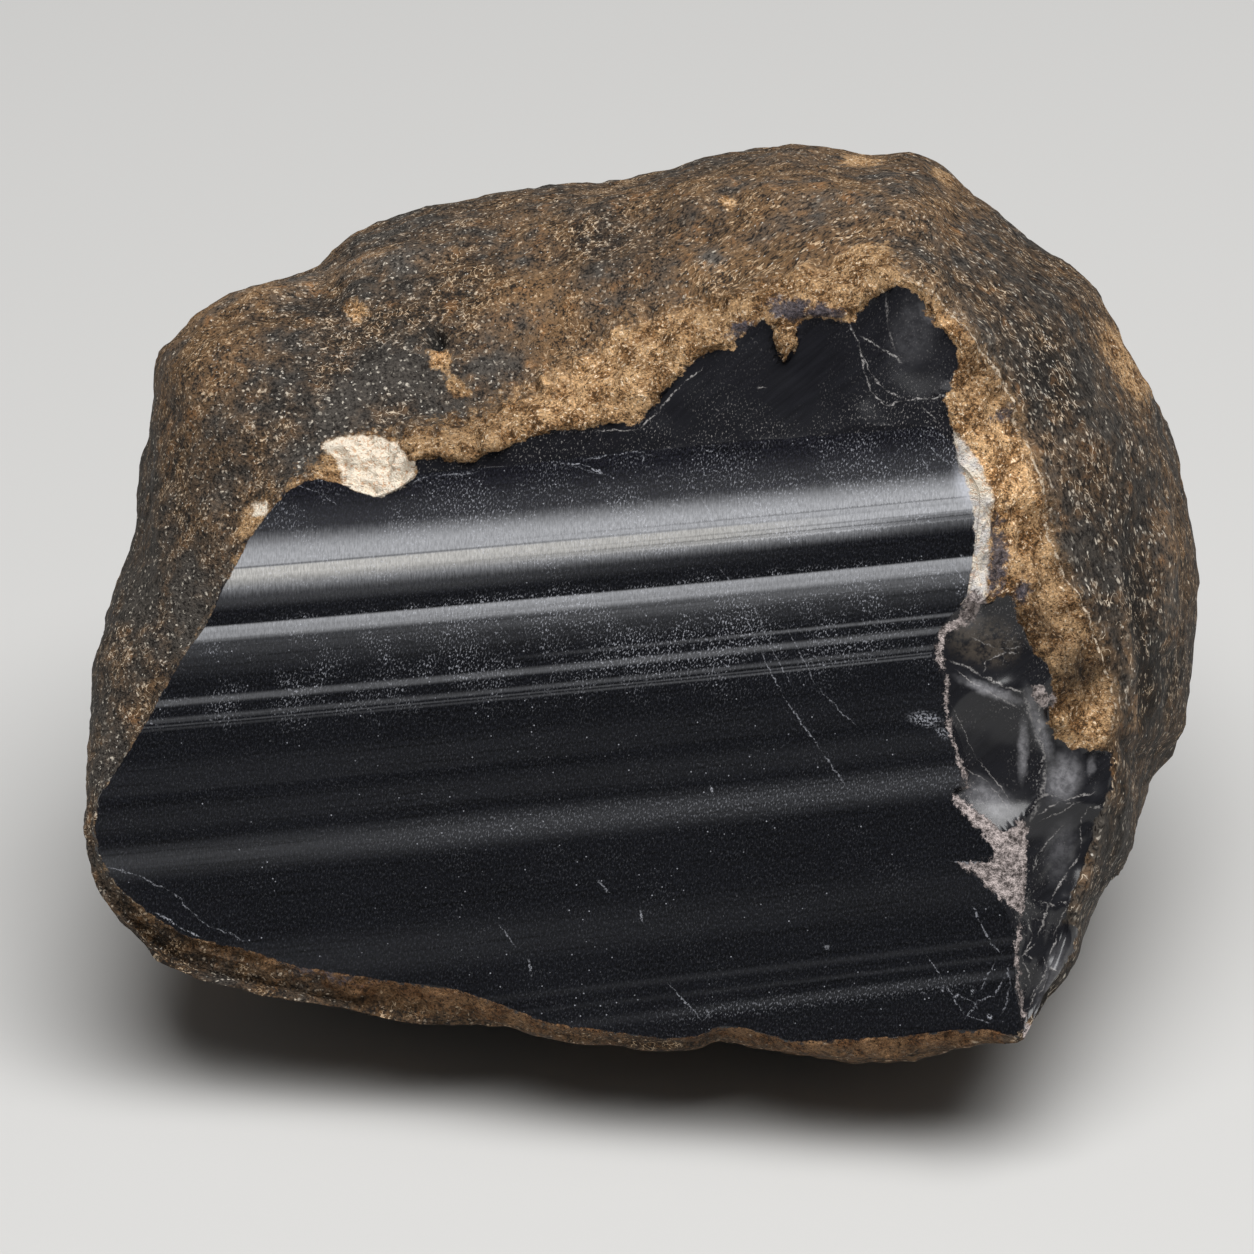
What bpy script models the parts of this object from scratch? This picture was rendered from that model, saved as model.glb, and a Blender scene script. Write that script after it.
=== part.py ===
"""A banded onyx nodule with one cut and polished face.

The stone is one solid. It is laid out in a leaning working frame, looking square into the
stone from in front and above: x runs to the right, y up the cut face and depth away into the
stone, all in millimetres. The depth axis dips LEAN degrees below level, so the last step
stands the stone on the small flat spot under it, in metres with +Z up.

Going out from the middle of the cut face and on to the back, the surface crosses four belts:
the flat polish, the broken rim, the skin up to the widest outline, and the skin round the back.
"""

from math import cos, pi, radians, sin, tan

import bmesh
import bpy
import numpy as np
from mathutils import Vector, noise

# ---- driving dimensions (mm and degrees) ---------------------------------------------------
LEAN = 30.0                  # dip of the depth axis below level
EYE = 700.0                  # the outlines are drawn in perspective from an eye this far off
FACE_TURN = 8.0              # the cut face looks this much to the left of the depth axis
FACE_DIP = 9.0               # and this much below it
FACE_CENTRE = (-4.0, -12.0)  # the outlines are measured round this point of the cut face
BACK_POLE = (3.0, 4.0, 76.0)  # x, y and depth of the deepest point of the back
REST_HEIGHT = 52.2           # the resting spot lies this far below the middle of the cut face
BOX_CENTRE = (2.23, 28.92)   # middle of the finished stone across and from front to back
LEAST_BELT = 0.35            # belts never get narrower than this
SKIN_START = radians(24.0)   # where on its quarter arc the skin leaves the broken rim
GENTLE_SWINGS = 4            # the back keeps only this many swings of the widest outline
GENTLE_PACE, GENTLE_POWER = 3.5, 1.5  # it has lost the others after 1 / pace of the way round
MM = 0.001                   # one millimetre in metres

AROUND = 96                  # points round each belt
POLISH_RINGS, RIM_RINGS, SKIN_RINGS, BACK_RINGS = 4, 7, 11, 18

ROLL_SIZE, ROLL_HEIGHT = 24.0, 2.2    # the long swells of the natural skin
KNOB_SIZE, KNOB_HEIGHT = 9.0, 0.7     # the shorter ones on top of them
ROLL_CENTRE = Vector((0, 0, 35))      # swells push straight out from here
ROLL_PACE, SWELL_PACE = 2.0, 4.0      # both reach full strength 1 / pace of the way over the skin
ROLL_FADE, LEAST_ROLL = 1.25, 0.35    # the swells weaken towards the widest outline
BACK_ROLL, BACK_PACE = 0.65, 3.0      # and come back this strongly behind it
SEED = Vector((3.7, 11.2, 5.9))

SCAR_REACH = 1.6             # a scar is pressed in up to this many opening radii out
SCAR_SKIN = 0.3              # and no further than this share of the skin belt
SHARP_ANGLE = radians(35)    # edges that turn more than this stay sharp
STONE_TONE, STONE_ROUGHNESS = (0.055, 0.045, 0.036, 1), 0.55

# ---- outlines on the working frame, anticlockwise from the right (mm) ----------------------
POLISH_EDGE = [  # where the flat polish ends
    (34.8, 8), (34.7, 14), (33, 18), (30, 20), (15, 18.8), (0, 17.5), (-10, 16.3), (-21, 15.2),
    (-25, 13.1), (-31.5, 14.8), (-35.5, 12), (-39, 6.5), (-42.3, 0), (-46, -6), (-50, -12.5),
    (-52.5, -16.5), (-53.2, -20), (-51.8, -24.5), (-48, -28.5), (-42, -31.5), (-33, -34),
    (-17, -36.3), (-8, -39.6), (4, -41.2), (9, -40), (17, -41.5), (27, -41), (36, -40.3),
    (39.3, -40.9), (39.2, -36), (39, -31), (36, -26), (36.8, -22.5), (34, -19), (33, -14.5),
    (32, -9), (30.5, -3.5), (31, -0.5), (33, 2),
]
SKIN_EDGE = [  # where the broken rim meets the weathered skin
    (42.7, 8), (41.5, 14), (38.8, 22.3), (36, 27), (32, 32.3), (26, 37.2), (19.5, 36.5),
    (10, 33.5), (0, 30.3), (-7, 25.5), (-14, 21.5), (-22, 19.8), (-30, 18.5), (-35.2, 15),
    (-39.5, 9.3), (-43.3, 0), (-47, -6), (-50.9, -12.2), (-53.1, -16.5), (-53.6, -20),
    (-52.8, -25), (-49.3, -30), (-43.5, -33.8), (-33, -36.3), (-17, -38.6), (-8, -40.4),
    (4, -41.5), (9, -40.7), (17, -42.4), (27, -42.8), (36, -41.4), (39.6, -41.3), (41.5, -37),
    (44.7, -27), (47.3, -19), (48.5, -13), (48.7, -6), (46.2, 1.5),
]
WIDEST = [  # the widest outline, where the skin turns away to the back
    (57.2, 4), (56.3, 11), (53.5, 21), (50, 27.3), (46, 34.6), (40.5, 38.5), (35, 43), (30, 47),
    (24, 47.3), (18, 48.3), (8, 46.9), (0, 44.7), (-10, 43.6), (-20, 42), (-27, 39.3), (-31, 36),
    (-36, 34.5), (-42, 32), (-46.3, 28), (-47.4, 22), (-49, 14), (-49.6, 8), (-52, 0),
    (-53.8, -12), (-53.9, -20), (-53.3, -25), (-50.8, -28.5), (-45.8, -34), (-38, -36.6),
    (-28, -38.3), (-20, -40), (-12, -40.3), (0, -41.7), (8.5, -41), (18, -43), (26, -43.5),
    (36, -42), (39.3, -41.6), (42.2, -38), (43.8, -35), (46.4, -29), (50.6, -21.8), (52, -16),
    (54.9, -12), (56.4, -3.5),
]
WIDEST_DEPTH = [  # the same line's depth, as (direction from the face centre in degrees, mm)
    (0, 29), (22, 33), (45, 35), (70, 37), (92, 37), (115, 34), (135, 31), (155, 27), (172, 21),
    (188, 14), (205, 11.5), (225, 11), (250, 11), (290, 11), (312, 9.5), (326, 6), (338, 13),
    (350, 22),
]
RIM_DROP = [  # how far the skin edge lies behind the plane of the cut face, likewise
    (0, 8), (20, 6), (40, 5.5), (60, 7.5), (80, 8.5), (100, 7), (125, 3.5), (150, 1.2), (180, 1.0),
    (205, 1.2), (235, 2.0), (270, 1.2), (310, 1.5), (324, 2.0), (335, 5), (348, 7),
]
RIM_BEND = [  # 1 for a rim that slopes evenly, more for one that drops late, likewise
    (0, 1.6), (20, 1.2), (40, 1.5), (60, 2.6), (80, 2.6), (95, 1.6), (115, 1.1), (180, 1.0),
    (270, 1.0), (330, 1.6),
]
BACK_FULLNESS = [  # 1 for an ellipse round the back, less for a fuller one, likewise
    (0, 0.92), (60, 0.86), (120, 0.90), (180, 0.94), (220, 1.02), (270, 1.10), (315, 1.08),
]
SCARS = [  # dished flake scars: centre x, y, opening radius, depth of the dish
    (11.0, 25.5, 13.5, 2.0), (27.0, 27.8, 6.2, 2.3), (37.5, -11.5, 8.5, 3.6),
    (35.8, -1.5, 4.5, 1.6), (43.0, -23.0, 7.5, 2.6), (40.5, -34.0, 5.0, 1.4),
]
SWELLS = [  # broad lumps and hollows of the skin: x, y, radius, height towards the eye
    (-41.0, 27.0, 8.0, 2.4), (-27.0, 33.0, 9.0, -1.2), (19.0, 42.0, 11.0, 1.6),
    (49.0, 24.0, 8.0, 1.5), (49.5, -13.0, 5.0, -2.2), (52.0, 4.0, 9.0, 1.2),
    (-46.0, 10.0, 9.0, -1.0), (2.0, 36.0, 10.0, 0.9),
]


def round_curve(knots_deg, values, turn):
    """Values at each turn of a smooth closed curve through a few hand-set knots."""
    knots = np.radians(np.array(knots_deg, float)) % (2 * pi)
    order = np.argsort(knots)
    knots, values = knots[order], np.array(values, float)[order]
    knots = np.concatenate([knots - 2 * pi, knots, knots + 2 * pi])
    values = np.tile(values, 3)
    steps = np.diff(values) / np.diff(knots)
    level = steps[1:] * steps[:-1] <= 0
    both = np.where(level, 1, steps[1:] + steps[:-1])
    slopes = np.where(level, 0, 2 * steps[1:] * steps[:-1] / both)
    slopes = np.concatenate([[0], slopes, [0]])
    left = np.searchsorted(knots, turn, side="right") - 1
    gap = knots[left + 1] - knots[left]
    t = (turn - knots[left]) / gap
    start, end = values[left], values[left + 1]
    lift = gap * (t * (1 - t) ** 2 * slopes[left] - t ** 2 * (1 - t) * slopes[left + 1])
    return start + (end - start) * t ** 2 * (3 - 2 * t) + lift


def outline_radius(outline, turn):
    """Distance of a drawn outline from the face centre, in each direction."""
    across, up = (np.array(outline, float) - FACE_CENTRE).T
    return round_curve(np.degrees(np.arctan2(up, across)), np.hypot(across, up), turn)


def gentle_radius(outline, turn):
    """The same distance with only its broadest swings left, for the far side of the stone."""
    fan = np.linspace(0, 2 * pi, 360, endpoint=False)
    swings = np.fft.rfft(outline_radius(outline, fan)) / len(fan)
    radius = np.full_like(turn, swings[0].real)
    for count in range(1, GENTLE_SWINGS + 1):
        radius += 2 * (swings[count] * np.exp(1j * count * turn)).real
    return radius


def face_plane(x, y):
    """Depth of the flat cut at a place of the working frame."""
    return -tan(radians(FACE_TURN)) * x - tan(radians(FACE_DIP)) * y


def belt_share(ring):
    """How far a point has come across each of the four belts, from 0 to 1."""
    counts = (POLISH_RINGS, RIM_RINGS, SKIN_RINGS, BACK_RINGS)
    starts = np.cumsum((0,) + counts[:-1])
    return [np.clip((ring - start) / count, 0, 1) for start, count in zip(starts, counts)]


def press_scars(x, y, depth):
    """Hollow the broken rim with the dished scars of the flakes that came away."""
    for centre_x, centre_y, opening, dish in SCARS:
        ball = (opening ** 2 + dish ** 2) / (2 * dish)
        away = np.hypot(x - centre_x, y - centre_y)
        rest = face_plane(centre_x, centre_y)
        floor = rest + dish - ball + np.sqrt(np.maximum(ball ** 2 - away ** 2, 0))
        depth = np.where(away < opening * SCAR_REACH, np.maximum(depth, floor), depth)
    return depth


def roll(points, skin, back):
    """Push skin points in and out with the swells of a weathered nodule."""
    weight = np.clip(skin * ROLL_PACE, 0, 1) * np.clip(ROLL_FADE - skin, LEAST_ROLL, 1)
    weight += BACK_ROLL * np.clip(back * BACK_PACE, 0, 1)
    for point, share in zip(points, weight):
        if share > 0:
            place = Vector(point)
            swell = noise.noise(place / ROLL_SIZE + SEED) * ROLL_HEIGHT
            swell += noise.noise(place / KNOB_SIZE - SEED) * KNOB_HEIGHT
            point += np.array((place - ROLL_CENTRE).normalized() * swell * share)


def stone_points(turn, ring):
    """Place every point of the stone on the working frame, from its turn and its ring."""
    polish, rim, skin, back = belt_share(ring)
    edge = [outline_radius(outline, turn) for outline in (POLISH_EDGE, SKIN_EDGE, WIDEST)]
    arc = SKIN_START + (pi / 2 - SKIN_START) * skin
    outward = (np.sin(arc) - sin(SKIN_START)) / (1 - sin(SKIN_START))
    inward = (cos(SKIN_START) - np.cos(arc)) / cos(SKIN_START)
    for inner, outer in ((0, 1), (1, 2)):
        edge[outer] = np.maximum(edge[outer], edge[inner] + LEAST_BELT)
    radius = edge[0] * polish + (edge[1] - edge[0]) * rim + (edge[2] - edge[1]) * outward
    fade = np.clip(back * GENTLE_PACE, 0, 1) ** GENTLE_POWER
    radius += (gentle_radius(WIDEST, turn) - edge[2]) * fade
    x = FACE_CENTRE[0] + radius * np.cos(turn)
    y = FACE_CENTRE[1] + radius * np.sin(turn)

    skin_x = FACE_CENTRE[0] + edge[1] * np.cos(turn)
    skin_y = FACE_CENTRE[1] + edge[1] * np.sin(turn)
    drop = round_curve(*zip(*RIM_DROP), turn)
    widest = round_curve(*zip(*WIDEST_DEPTH), turn)
    at_skin_edge = face_plane(skin_x, skin_y) + drop
    depth = face_plane(x, y) + drop * rim ** round_curve(*zip(*RIM_BEND), turn)
    depth = np.where(skin > 0, at_skin_edge + (widest - at_skin_edge) * inward, depth)
    depth = np.where((rim > 0) & (skin < SCAR_SKIN), press_scars(x, y, depth), depth)
    share = np.clip(skin * SWELL_PACE, 0, 1) * (1 - back)
    for centre_x, centre_y, size, height in SWELLS:
        away = np.hypot(x - centre_x, y - centre_y)
        depth -= height * np.exp(-(away / size) ** 2) * share

    x, y = x * (1 + depth / EYE), y * (1 + depth / EYE)
    fullness = round_curve(*zip(*BACK_FULLNESS), turn)
    close = np.cos(back * pi / 2) ** fullness
    x = BACK_POLE[0] + (x - BACK_POLE[0]) * close
    y = BACK_POLE[1] + (y - BACK_POLE[1]) * close
    depth = depth + (BACK_POLE[2] - depth) * np.sin(back * pi / 2) ** fullness
    points = np.stack([x, y, depth], axis=1)
    roll(points, skin, back)
    return points


def stand_up(points):
    """Turn the working frame upright and rest the stone, in metres, on its flat spot."""
    x, y, depth = points.T
    lean = radians(LEAN)
    across = x - BOX_CENTRE[0]
    along = depth * cos(lean) + y * sin(lean) - BOX_CENTRE[1]
    up = y * cos(lean) - depth * sin(lean) + REST_HEIGHT
    return np.stack([across, along, np.maximum(up, 0)], axis=1) * MM


def build_stone():
    """Shape a round net of points, its pole at the face centre, into the stone."""
    rings = POLISH_RINGS + RIM_RINGS + SKIN_RINGS + BACK_RINGS
    net = bmesh.new()
    bmesh.ops.create_uvsphere(net, u_segments=AROUND, v_segments=rings, radius=1)
    ball = np.array([vertex.co for vertex in net.verts])
    turn = np.arctan2(ball[:, 1], ball[:, 0]) % (2 * pi)
    ring = np.round(np.arccos(np.clip(ball[:, 2], -1, 1)) / pi * rings)
    for vertex, place in zip(net.verts, stand_up(stone_points(turn, ring))):
        vertex.co = place
    bmesh.ops.recalc_face_normals(net, faces=net.faces)
    mesh = bpy.data.meshes.new("onyx_nodule")
    net.to_mesh(mesh)
    net.free()
    mesh.shade_smooth()
    mesh.set_sharp_from_angle(angle=SHARP_ANGLE)
    return mesh


def stone_material():
    """Dark banded stone."""
    material = bpy.data.materials.new("banded_stone")
    material.use_nodes = True
    shader = material.node_tree.nodes["Principled BSDF"]
    shader.inputs["Base Color"].default_value = STONE_TONE
    shader.inputs["Roughness"].default_value = STONE_ROUGHNESS
    shader.inputs["Metallic"].default_value = 0.0
    return material


for leftover in list(bpy.data.objects):
    bpy.data.objects.remove(leftover, do_unlink=True)
stone = bpy.data.objects.new("onyx_nodule", build_stone())
stone.data.materials.append(stone_material())
bpy.context.scene.collection.objects.link(stone)
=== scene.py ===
# %% [markdown]
# # A banded onyx nodule, cut and polished on one side
# The stone is one natural piece. Its back and top keep the brown-black weathered skin, a tan
# crumbly rim shows where the skin was broken through, glassy chips surround the cut, and the
# cut itself is a flat black polish with pale straight bands.
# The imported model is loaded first. It gives the real size and the place of the stone, and the
# fine surface made here takes the place of its plain solid.

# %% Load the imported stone
from math import atan2, cos, degrees, hypot, pi, radians, sin, tan

import bmesh
import bpy
import numpy as np
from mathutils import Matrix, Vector, noise


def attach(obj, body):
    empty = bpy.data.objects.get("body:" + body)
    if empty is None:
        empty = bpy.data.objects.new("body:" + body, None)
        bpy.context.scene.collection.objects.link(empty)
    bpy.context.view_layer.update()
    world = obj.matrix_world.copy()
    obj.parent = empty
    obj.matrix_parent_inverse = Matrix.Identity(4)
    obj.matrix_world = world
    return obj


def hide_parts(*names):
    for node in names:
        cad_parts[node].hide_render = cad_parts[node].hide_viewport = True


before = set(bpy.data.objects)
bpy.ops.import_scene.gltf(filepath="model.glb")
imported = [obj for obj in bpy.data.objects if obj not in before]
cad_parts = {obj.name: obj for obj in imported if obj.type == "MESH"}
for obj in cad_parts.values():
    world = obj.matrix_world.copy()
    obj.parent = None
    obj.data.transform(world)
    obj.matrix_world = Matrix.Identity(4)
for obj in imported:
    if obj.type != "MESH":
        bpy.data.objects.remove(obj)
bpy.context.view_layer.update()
MM = 0.001

# %% [markdown]
# ## The working frame
# Stones have no straight edges to measure from, so everything is drawn on a leaning frame that
# looks square into the stone from in front and above: x to the right, y up, depth away into
# the stone, in millimetres. The drawing is in perspective, from an eye EYE mm in front of the
# cut, which is also where the camera stands. A last step turns the frame upright.

# %% Working frame
LEAN = 30                    # dip of the depth axis below level, degrees
EYE = 700                    # distance of the eye from the middle of the cut
REST_HEIGHT = 52.2           # middle of the cut above the resting spot
BOX_CENTRE = (2.23, 28.92)   # middle of the stone's box, across and from front to back
FACE_TURN, FACE_DIP = 8, 9       # the cut looks this much left of the depth axis and below it


def stand_up(points):
    """Working millimetres to upright metres."""
    x, y, depth = np.asarray(points, float).T
    lean = radians(LEAN)
    across = x - BOX_CENTRE[0]
    along = depth * cos(lean) + y * sin(lean) - BOX_CENTRE[1]
    up = y * cos(lean) - depth * sin(lean) + REST_HEIGHT
    return np.stack([across, along, up], axis=1) * MM


def face_plane(x, y):
    """Depth of the flat cut."""
    return -tan(radians(FACE_TURN)) * x - tan(radians(FACE_DIP)) * y


print("middle of the cut stands at", stand_up([(0, 0, 0)]).round(4)[0])

# %% [markdown]
# ## Camera, light and floor
# The camera stands at the eye of the working frame and looks along its depth axis. A long
# lens keeps the stone calm. The light is one broad soft box overhead, a little in front. The
# room itself stays dim, because a polished black surface shows what it faces.

# %% Camera
FRAME_WIDTH = 125.4          # mm of the working frame that the picture spans

camera = bpy.data.objects.new("camera", bpy.data.cameras.new("camera"))
camera.data.sensor_width = 36
camera.data.lens = camera.data.sensor_width * EYE / FRAME_WIDTH
camera.location = stand_up([(0, 0, -EYE)])[0]
camera.rotation_euler = (radians(90 - LEAN), 0, 0)
bpy.context.scene.collection.objects.link(camera)
bpy.context.scene.camera = camera
bpy.context.scene.view_settings.view_transform = "Standard"
print("lens", round(camera.data.lens, 1), "mm")

# %% Lights and world
LAMP_PLACE = (0.12, -0.28, 1.15)   # metres from the resting spot, which the lamp faces
LAMP_WIDTH, LAMP_LENGTH, LAMP_WATTS = 1.15, 0.8, 20.6
ROOM_GLOW = 0.08             # light that the dim room gives back to the stone
BACKDROP = 0.66              # what the camera sees of the room, past the floor

soft_box = bpy.data.lights.new("soft_box", "AREA")
soft_box.shape, soft_box.energy = "RECTANGLE", LAMP_WATTS
soft_box.size, soft_box.size_y = LAMP_WIDTH, LAMP_LENGTH
lamp = bpy.data.objects.new("overhead", soft_box)
lamp.location = LAMP_PLACE
lamp.rotation_euler = (-Vector(LAMP_PLACE)).to_track_quat("-Z", "Y").to_euler()
bpy.context.scene.collection.objects.link(lamp)

world = bpy.data.worlds.new("dim_room")
world.use_nodes = True
room = world.node_tree
path = room.nodes.new("ShaderNodeLightPath")
seen = room.nodes.new("ShaderNodeMix")
seen.data_type = "FLOAT"
seen.inputs["A"].default_value, seen.inputs["B"].default_value = ROOM_GLOW, BACKDROP
room.links.new(path.outputs["Is Camera Ray"], seen.inputs["Factor"])
room.links.new(seen.outputs["Result"], room.nodes["Background"].inputs["Strength"])
room.nodes["Background"].inputs["Color"].default_value = (0.98, 0.99, 1, 1)
bpy.context.scene.world = world
print("lamp", LAMP_WIDTH, "by", LAMP_LENGTH, "m")

# %% Floor
FLOOR_SIZE = 16              # metres, wide enough that no view reaches its edge
FLOOR_TONE = (0.585, 0.58, 0.568)

net = bmesh.new()
bmesh.ops.create_grid(net, x_segments=1, y_segments=1, size=FLOOR_SIZE / 2)
floor = bpy.data.objects.new("floor", bpy.data.meshes.new("floor"))
net.to_mesh(floor.data)
net.free()
paint = bpy.data.materials.new("floor_paint")
paint.use_nodes = True
paint_sockets = paint.node_tree.nodes["Principled BSDF"].inputs
paint_sockets["Base Color"].default_value = (*FLOOR_TONE, 1)
paint_sockets["Roughness"].default_value = 0.9
floor.data.materials.append(paint)
bpy.context.scene.collection.objects.link(floor)
print("floor", FLOOR_SIZE, "m wide")

# %% [markdown]
# ## Outlines of the stone
# Three outlines, all drawn anticlockwise from the right, carry the shape: where the flat
# polish ends, where the broken rim meets the weathered skin, and the widest line, where the
# skin turns away to the back. Between them the surface crosses four belts.

# %% The three outlines
POLISH_EDGE = [
    (34.8, 8), (35, 10), (35, 14), (34.3, 15.2), (32.9, 16.5), (33, 18), (31, 19.8), (30, 20),
    (15, 18.8), (0, 17.5), (-10, 16.3), (-18, 15.6), (-21, 15.2), (-22.5, 14), (-24, 13.3),
    (-25, 13), (-26.8, 13.5), (-29, 14.4), (-31, 14.9), (-33.5, 14), (-35.5, 12), (-38, 8.5),
    (-40, 4.5), (-42.3, 0), (-45, -4), (-47.5, -8.5), (-50, -12.5), (-52.5, -16.5),
    (-53.2, -20), (-52.6, -23), (-51, -26), (-48, -28.5), (-44, -31), (-38, -32.3), (-33, -34),
    (-24, -35.4), (-17, -36.3), (-12, -38), (-8, -39.6), (0, -40.7), (4, -41.2), (7, -41),
    (9, -40), (12, -40.2), (17, -41.5), (27, -41), (33, -40.3), (36, -40.3), (39.3, -40.9),
    (38.9, -36), (38.8, -33.5), (39, -31), (37.5, -27.5), (36, -26), (35.5, -24.5),
    (36.8, -22.5), (35.5, -20), (33, -18), (32.3, -16.5), (33.4, -15.8), (33, -12.5),
    (31.8, -7), (31.7, -5), (30.4, -3), (31, -0.5), (33, 1.8), (34, 3),
]
SKIN_EDGE = [
    (42.7, 8), (41.5, 14), (38.8, 22.3), (36, 27), (32, 32.3), (26, 37.2), (19.5, 36.5),
    (10, 33.5), (0, 30.3), (-7, 25.5), (-14, 21.5), (-22, 19.8), (-30, 18.5), (-35.2, 15),
    (-39.5, 9.3), (-43.3, 0), (-47, -6), (-50.9, -12.2), (-53.1, -16.5), (-53.6, -20),
    (-52.8, -25), (-49.3, -30), (-43.5, -33.8), (-33, -36.3), (-17, -38.6), (-8, -40.4),
    (4, -41.5), (9, -40.7), (17, -42.4), (27, -42.8), (36, -41.4), (39.6, -41.3), (41.5, -37),
    (44.7, -27), (47.3, -19), (48.5, -13), (48.7, -6), (46.2, 1.5),
]
WIDEST = [
    (57.2, 4), (56.3, 11), (53.5, 21), (50, 27.3), (46, 34.6), (40.5, 38.5), (35, 43), (30, 47),
    (24, 47.3), (18, 48.3), (8, 46.9), (0, 44.7), (-10, 43.6), (-20, 42), (-27, 39.3), (-31, 36),
    (-36, 34.5), (-42, 32), (-46.3, 28), (-47.4, 22), (-49, 14), (-49.6, 8), (-52, 0),
    (-53.8, -12), (-53.9, -20), (-53.3, -25), (-50.8, -28.5), (-45.8, -34), (-38, -36.6),
    (-28, -38.3), (-20, -40), (-12, -40.3), (0, -41.7), (8.5, -41), (18, -43), (26, -43.5),
    (36, -42), (39.3, -41.6), (42.2, -38), (43.8, -35), (46.4, -29), (50.6, -21.8), (52, -16),
    (54.9, -12), (56.4, -3.5),
]
FACE_CENTRE = (-4, -12)      # the outlines are measured round this point
print(len(POLISH_EDGE), len(SKIN_EDGE), len(WIDEST), "outline points")

# %% [markdown]
# ## How deep the outlines lie
# Each list goes round the stone as (direction in degrees, value). The rim drops away from
# the plane of the cut, the widest line lies well behind it, and the back closes on a pole.

# %% Depths round the stone
BACK_POLE = (3, 4, 76)
WIDEST_DEPTH = [
    (0, 29), (22, 33), (45, 35), (70, 37), (92, 37), (115, 34), (135, 31), (155, 27), (172, 21),
    (188, 14), (205, 11.5), (225, 11), (250, 11), (290, 11), (312, 9.5), (326, 6), (338, 13),
    (350, 22),
]
RIM_DROP = [
    (0, 8), (20, 6), (40, 5.5), (60, 7.5), (80, 8.5), (100, 7), (125, 3.5), (150, 1.2), (180, 1),
    (205, 1.2), (235, 2), (270, 1.2), (310, 1.5), (324, 2), (335, 5), (348, 7),
]
RIM_BEND = [  # 1 for a rim that slopes evenly, more for one that drops late
    (0, 1.6), (20, 1.2), (40, 1.5), (60, 2.6), (80, 2.6), (95, 1.6), (115, 1.1), (180, 1),
    (270, 1), (330, 1.6),
]
BACK_FULLNESS = [  # 1 for an ellipse round the back, less for a fuller one
    (0, 0.92), (60, 0.86), (120, 0.9), (180, 0.94), (220, 1.02), (270, 1.1), (315, 1.08),
]
SKIN_START = radians(24)     # where on its quarter arc the skin leaves the broken rim
GENTLE_SWINGS = 4            # the back keeps only this many swings of the widest line
GENTLE_PACE, GENTLE_POWER = 3.5, 1.5  # it has lost the others after 1 / pace of the way round
LEAST_BELT = 0.35            # belts never get narrower than this, mm
LIP, LIP_REACH = 0.5, 5      # the crust stands this proud of bare glass, and for how far
LIP_START = 0.4              # mm, over which the lip rises
STRAY, STRAY_SIZE = 0.8, 3.5  # how far the scars stray from true balls, and over what size
STRAY_MOVES = (0.3, 0.6, 2.5), (7.3, 4.6, 8.5)  # x and y stray by two far parts of one noise
FAR = 30                     # mm, stands for a place well away from something


def round_curve(knots_deg, values, turn):
    """Values at each turn of a smooth closed curve through a few given knots."""
    knots = np.radians(np.array(knots_deg, float)) % (2 * pi)
    order = np.argsort(knots)
    knots, values = knots[order], np.array(values, float)[order]
    knots = np.concatenate([knots - 2 * pi, knots, knots + 2 * pi])
    values = np.tile(values, 3)
    steps = np.diff(values) / np.diff(knots)
    product, total = steps[1:] * steps[:-1], steps[1:] + steps[:-1]
    level = product <= 0
    slopes = np.where(level, 0, 2 * product / np.where(level, 1, total))
    slopes = np.concatenate([[0], slopes, [0]])
    left = np.searchsorted(knots, turn, side="right") - 1
    gap = knots[left + 1] - knots[left]
    t = (turn - knots[left]) / gap
    start, end = values[left], values[left + 1]
    lift = gap * (t * (1 - t) ** 2 * slopes[left] - t ** 2 * (1 - t) * slopes[left + 1])
    return start + (end - start) * t ** 2 * (3 - 2 * t) + lift


def outline_radius(outline, turn):
    """Distance of a drawn outline from the face centre, in each direction."""
    offset = np.array(outline, float) - FACE_CENTRE
    directions = np.degrees(np.arctan2(offset[:, 1], offset[:, 0]))
    return round_curve(directions, np.hypot(*offset.T), turn)


def gentle_radius(outline, turn):
    """The same distance with only its broadest swings left, for the far side of the stone."""
    fan = np.linspace(0, 2 * pi, 360, endpoint=False)
    swings = np.fft.rfft(outline_radius(outline, fan)) / len(fan)
    radius = np.full_like(turn, swings[0].real)
    for count in range(1, GENTLE_SWINGS + 1):
        radius += 2 * (swings[count] * np.exp(1j * count * turn)).real
    return radius


for name, outline in (("polish", POLISH_EDGE), ("skin edge", SKIN_EDGE), ("widest", WIDEST)):
    print(name, "reaches", round(max(outline_radius(outline, np.linspace(0, 2 * pi, 90)))), "mm")


# %% [markdown]
# ## Where bare glass shows
# More outlines on the front mark the places where black glass is bare: a smooth hollow above
# the cut and the chips beside its right end. `inside` gives a signed distance to any drawn
# outline.

# %% Glass outlines
HOLLOW = [  # black glass above the polish
    (-21.5, 14), (-21, 16.7), (-19, 17), (-17, 16.5), (-15, 16.6), (-14, 17.6), (-12, 18),
    (-8, 19.6), (-4, 19.8), (-2, 20.5), (0, 20.2), (1.3, 20.7), (4, 24), (6, 26), (8, 27.5),
    (9.5, 28.2), (10.5, 27.5), (11, 29), (13.5, 30.8), (14.5, 30.2), (14.9, 28), (15.8, 26.5),
    (16.8, 28.2), (17, 30.3), (17.5, 31), (20.5, 31), (21.5, 30.2), (22.3, 30.5), (23.4, 31.8),
    (24.7, 33), (26, 33.8), (28, 34), (29, 33.5), (30, 31.5), (31, 30), (33, 28.3),
    (32.9, 25.8), (32.3, 24), (31.5, 23), (32.2, 21), (32.9, 18.3), (33, 10), (-21, 10),
]
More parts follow.
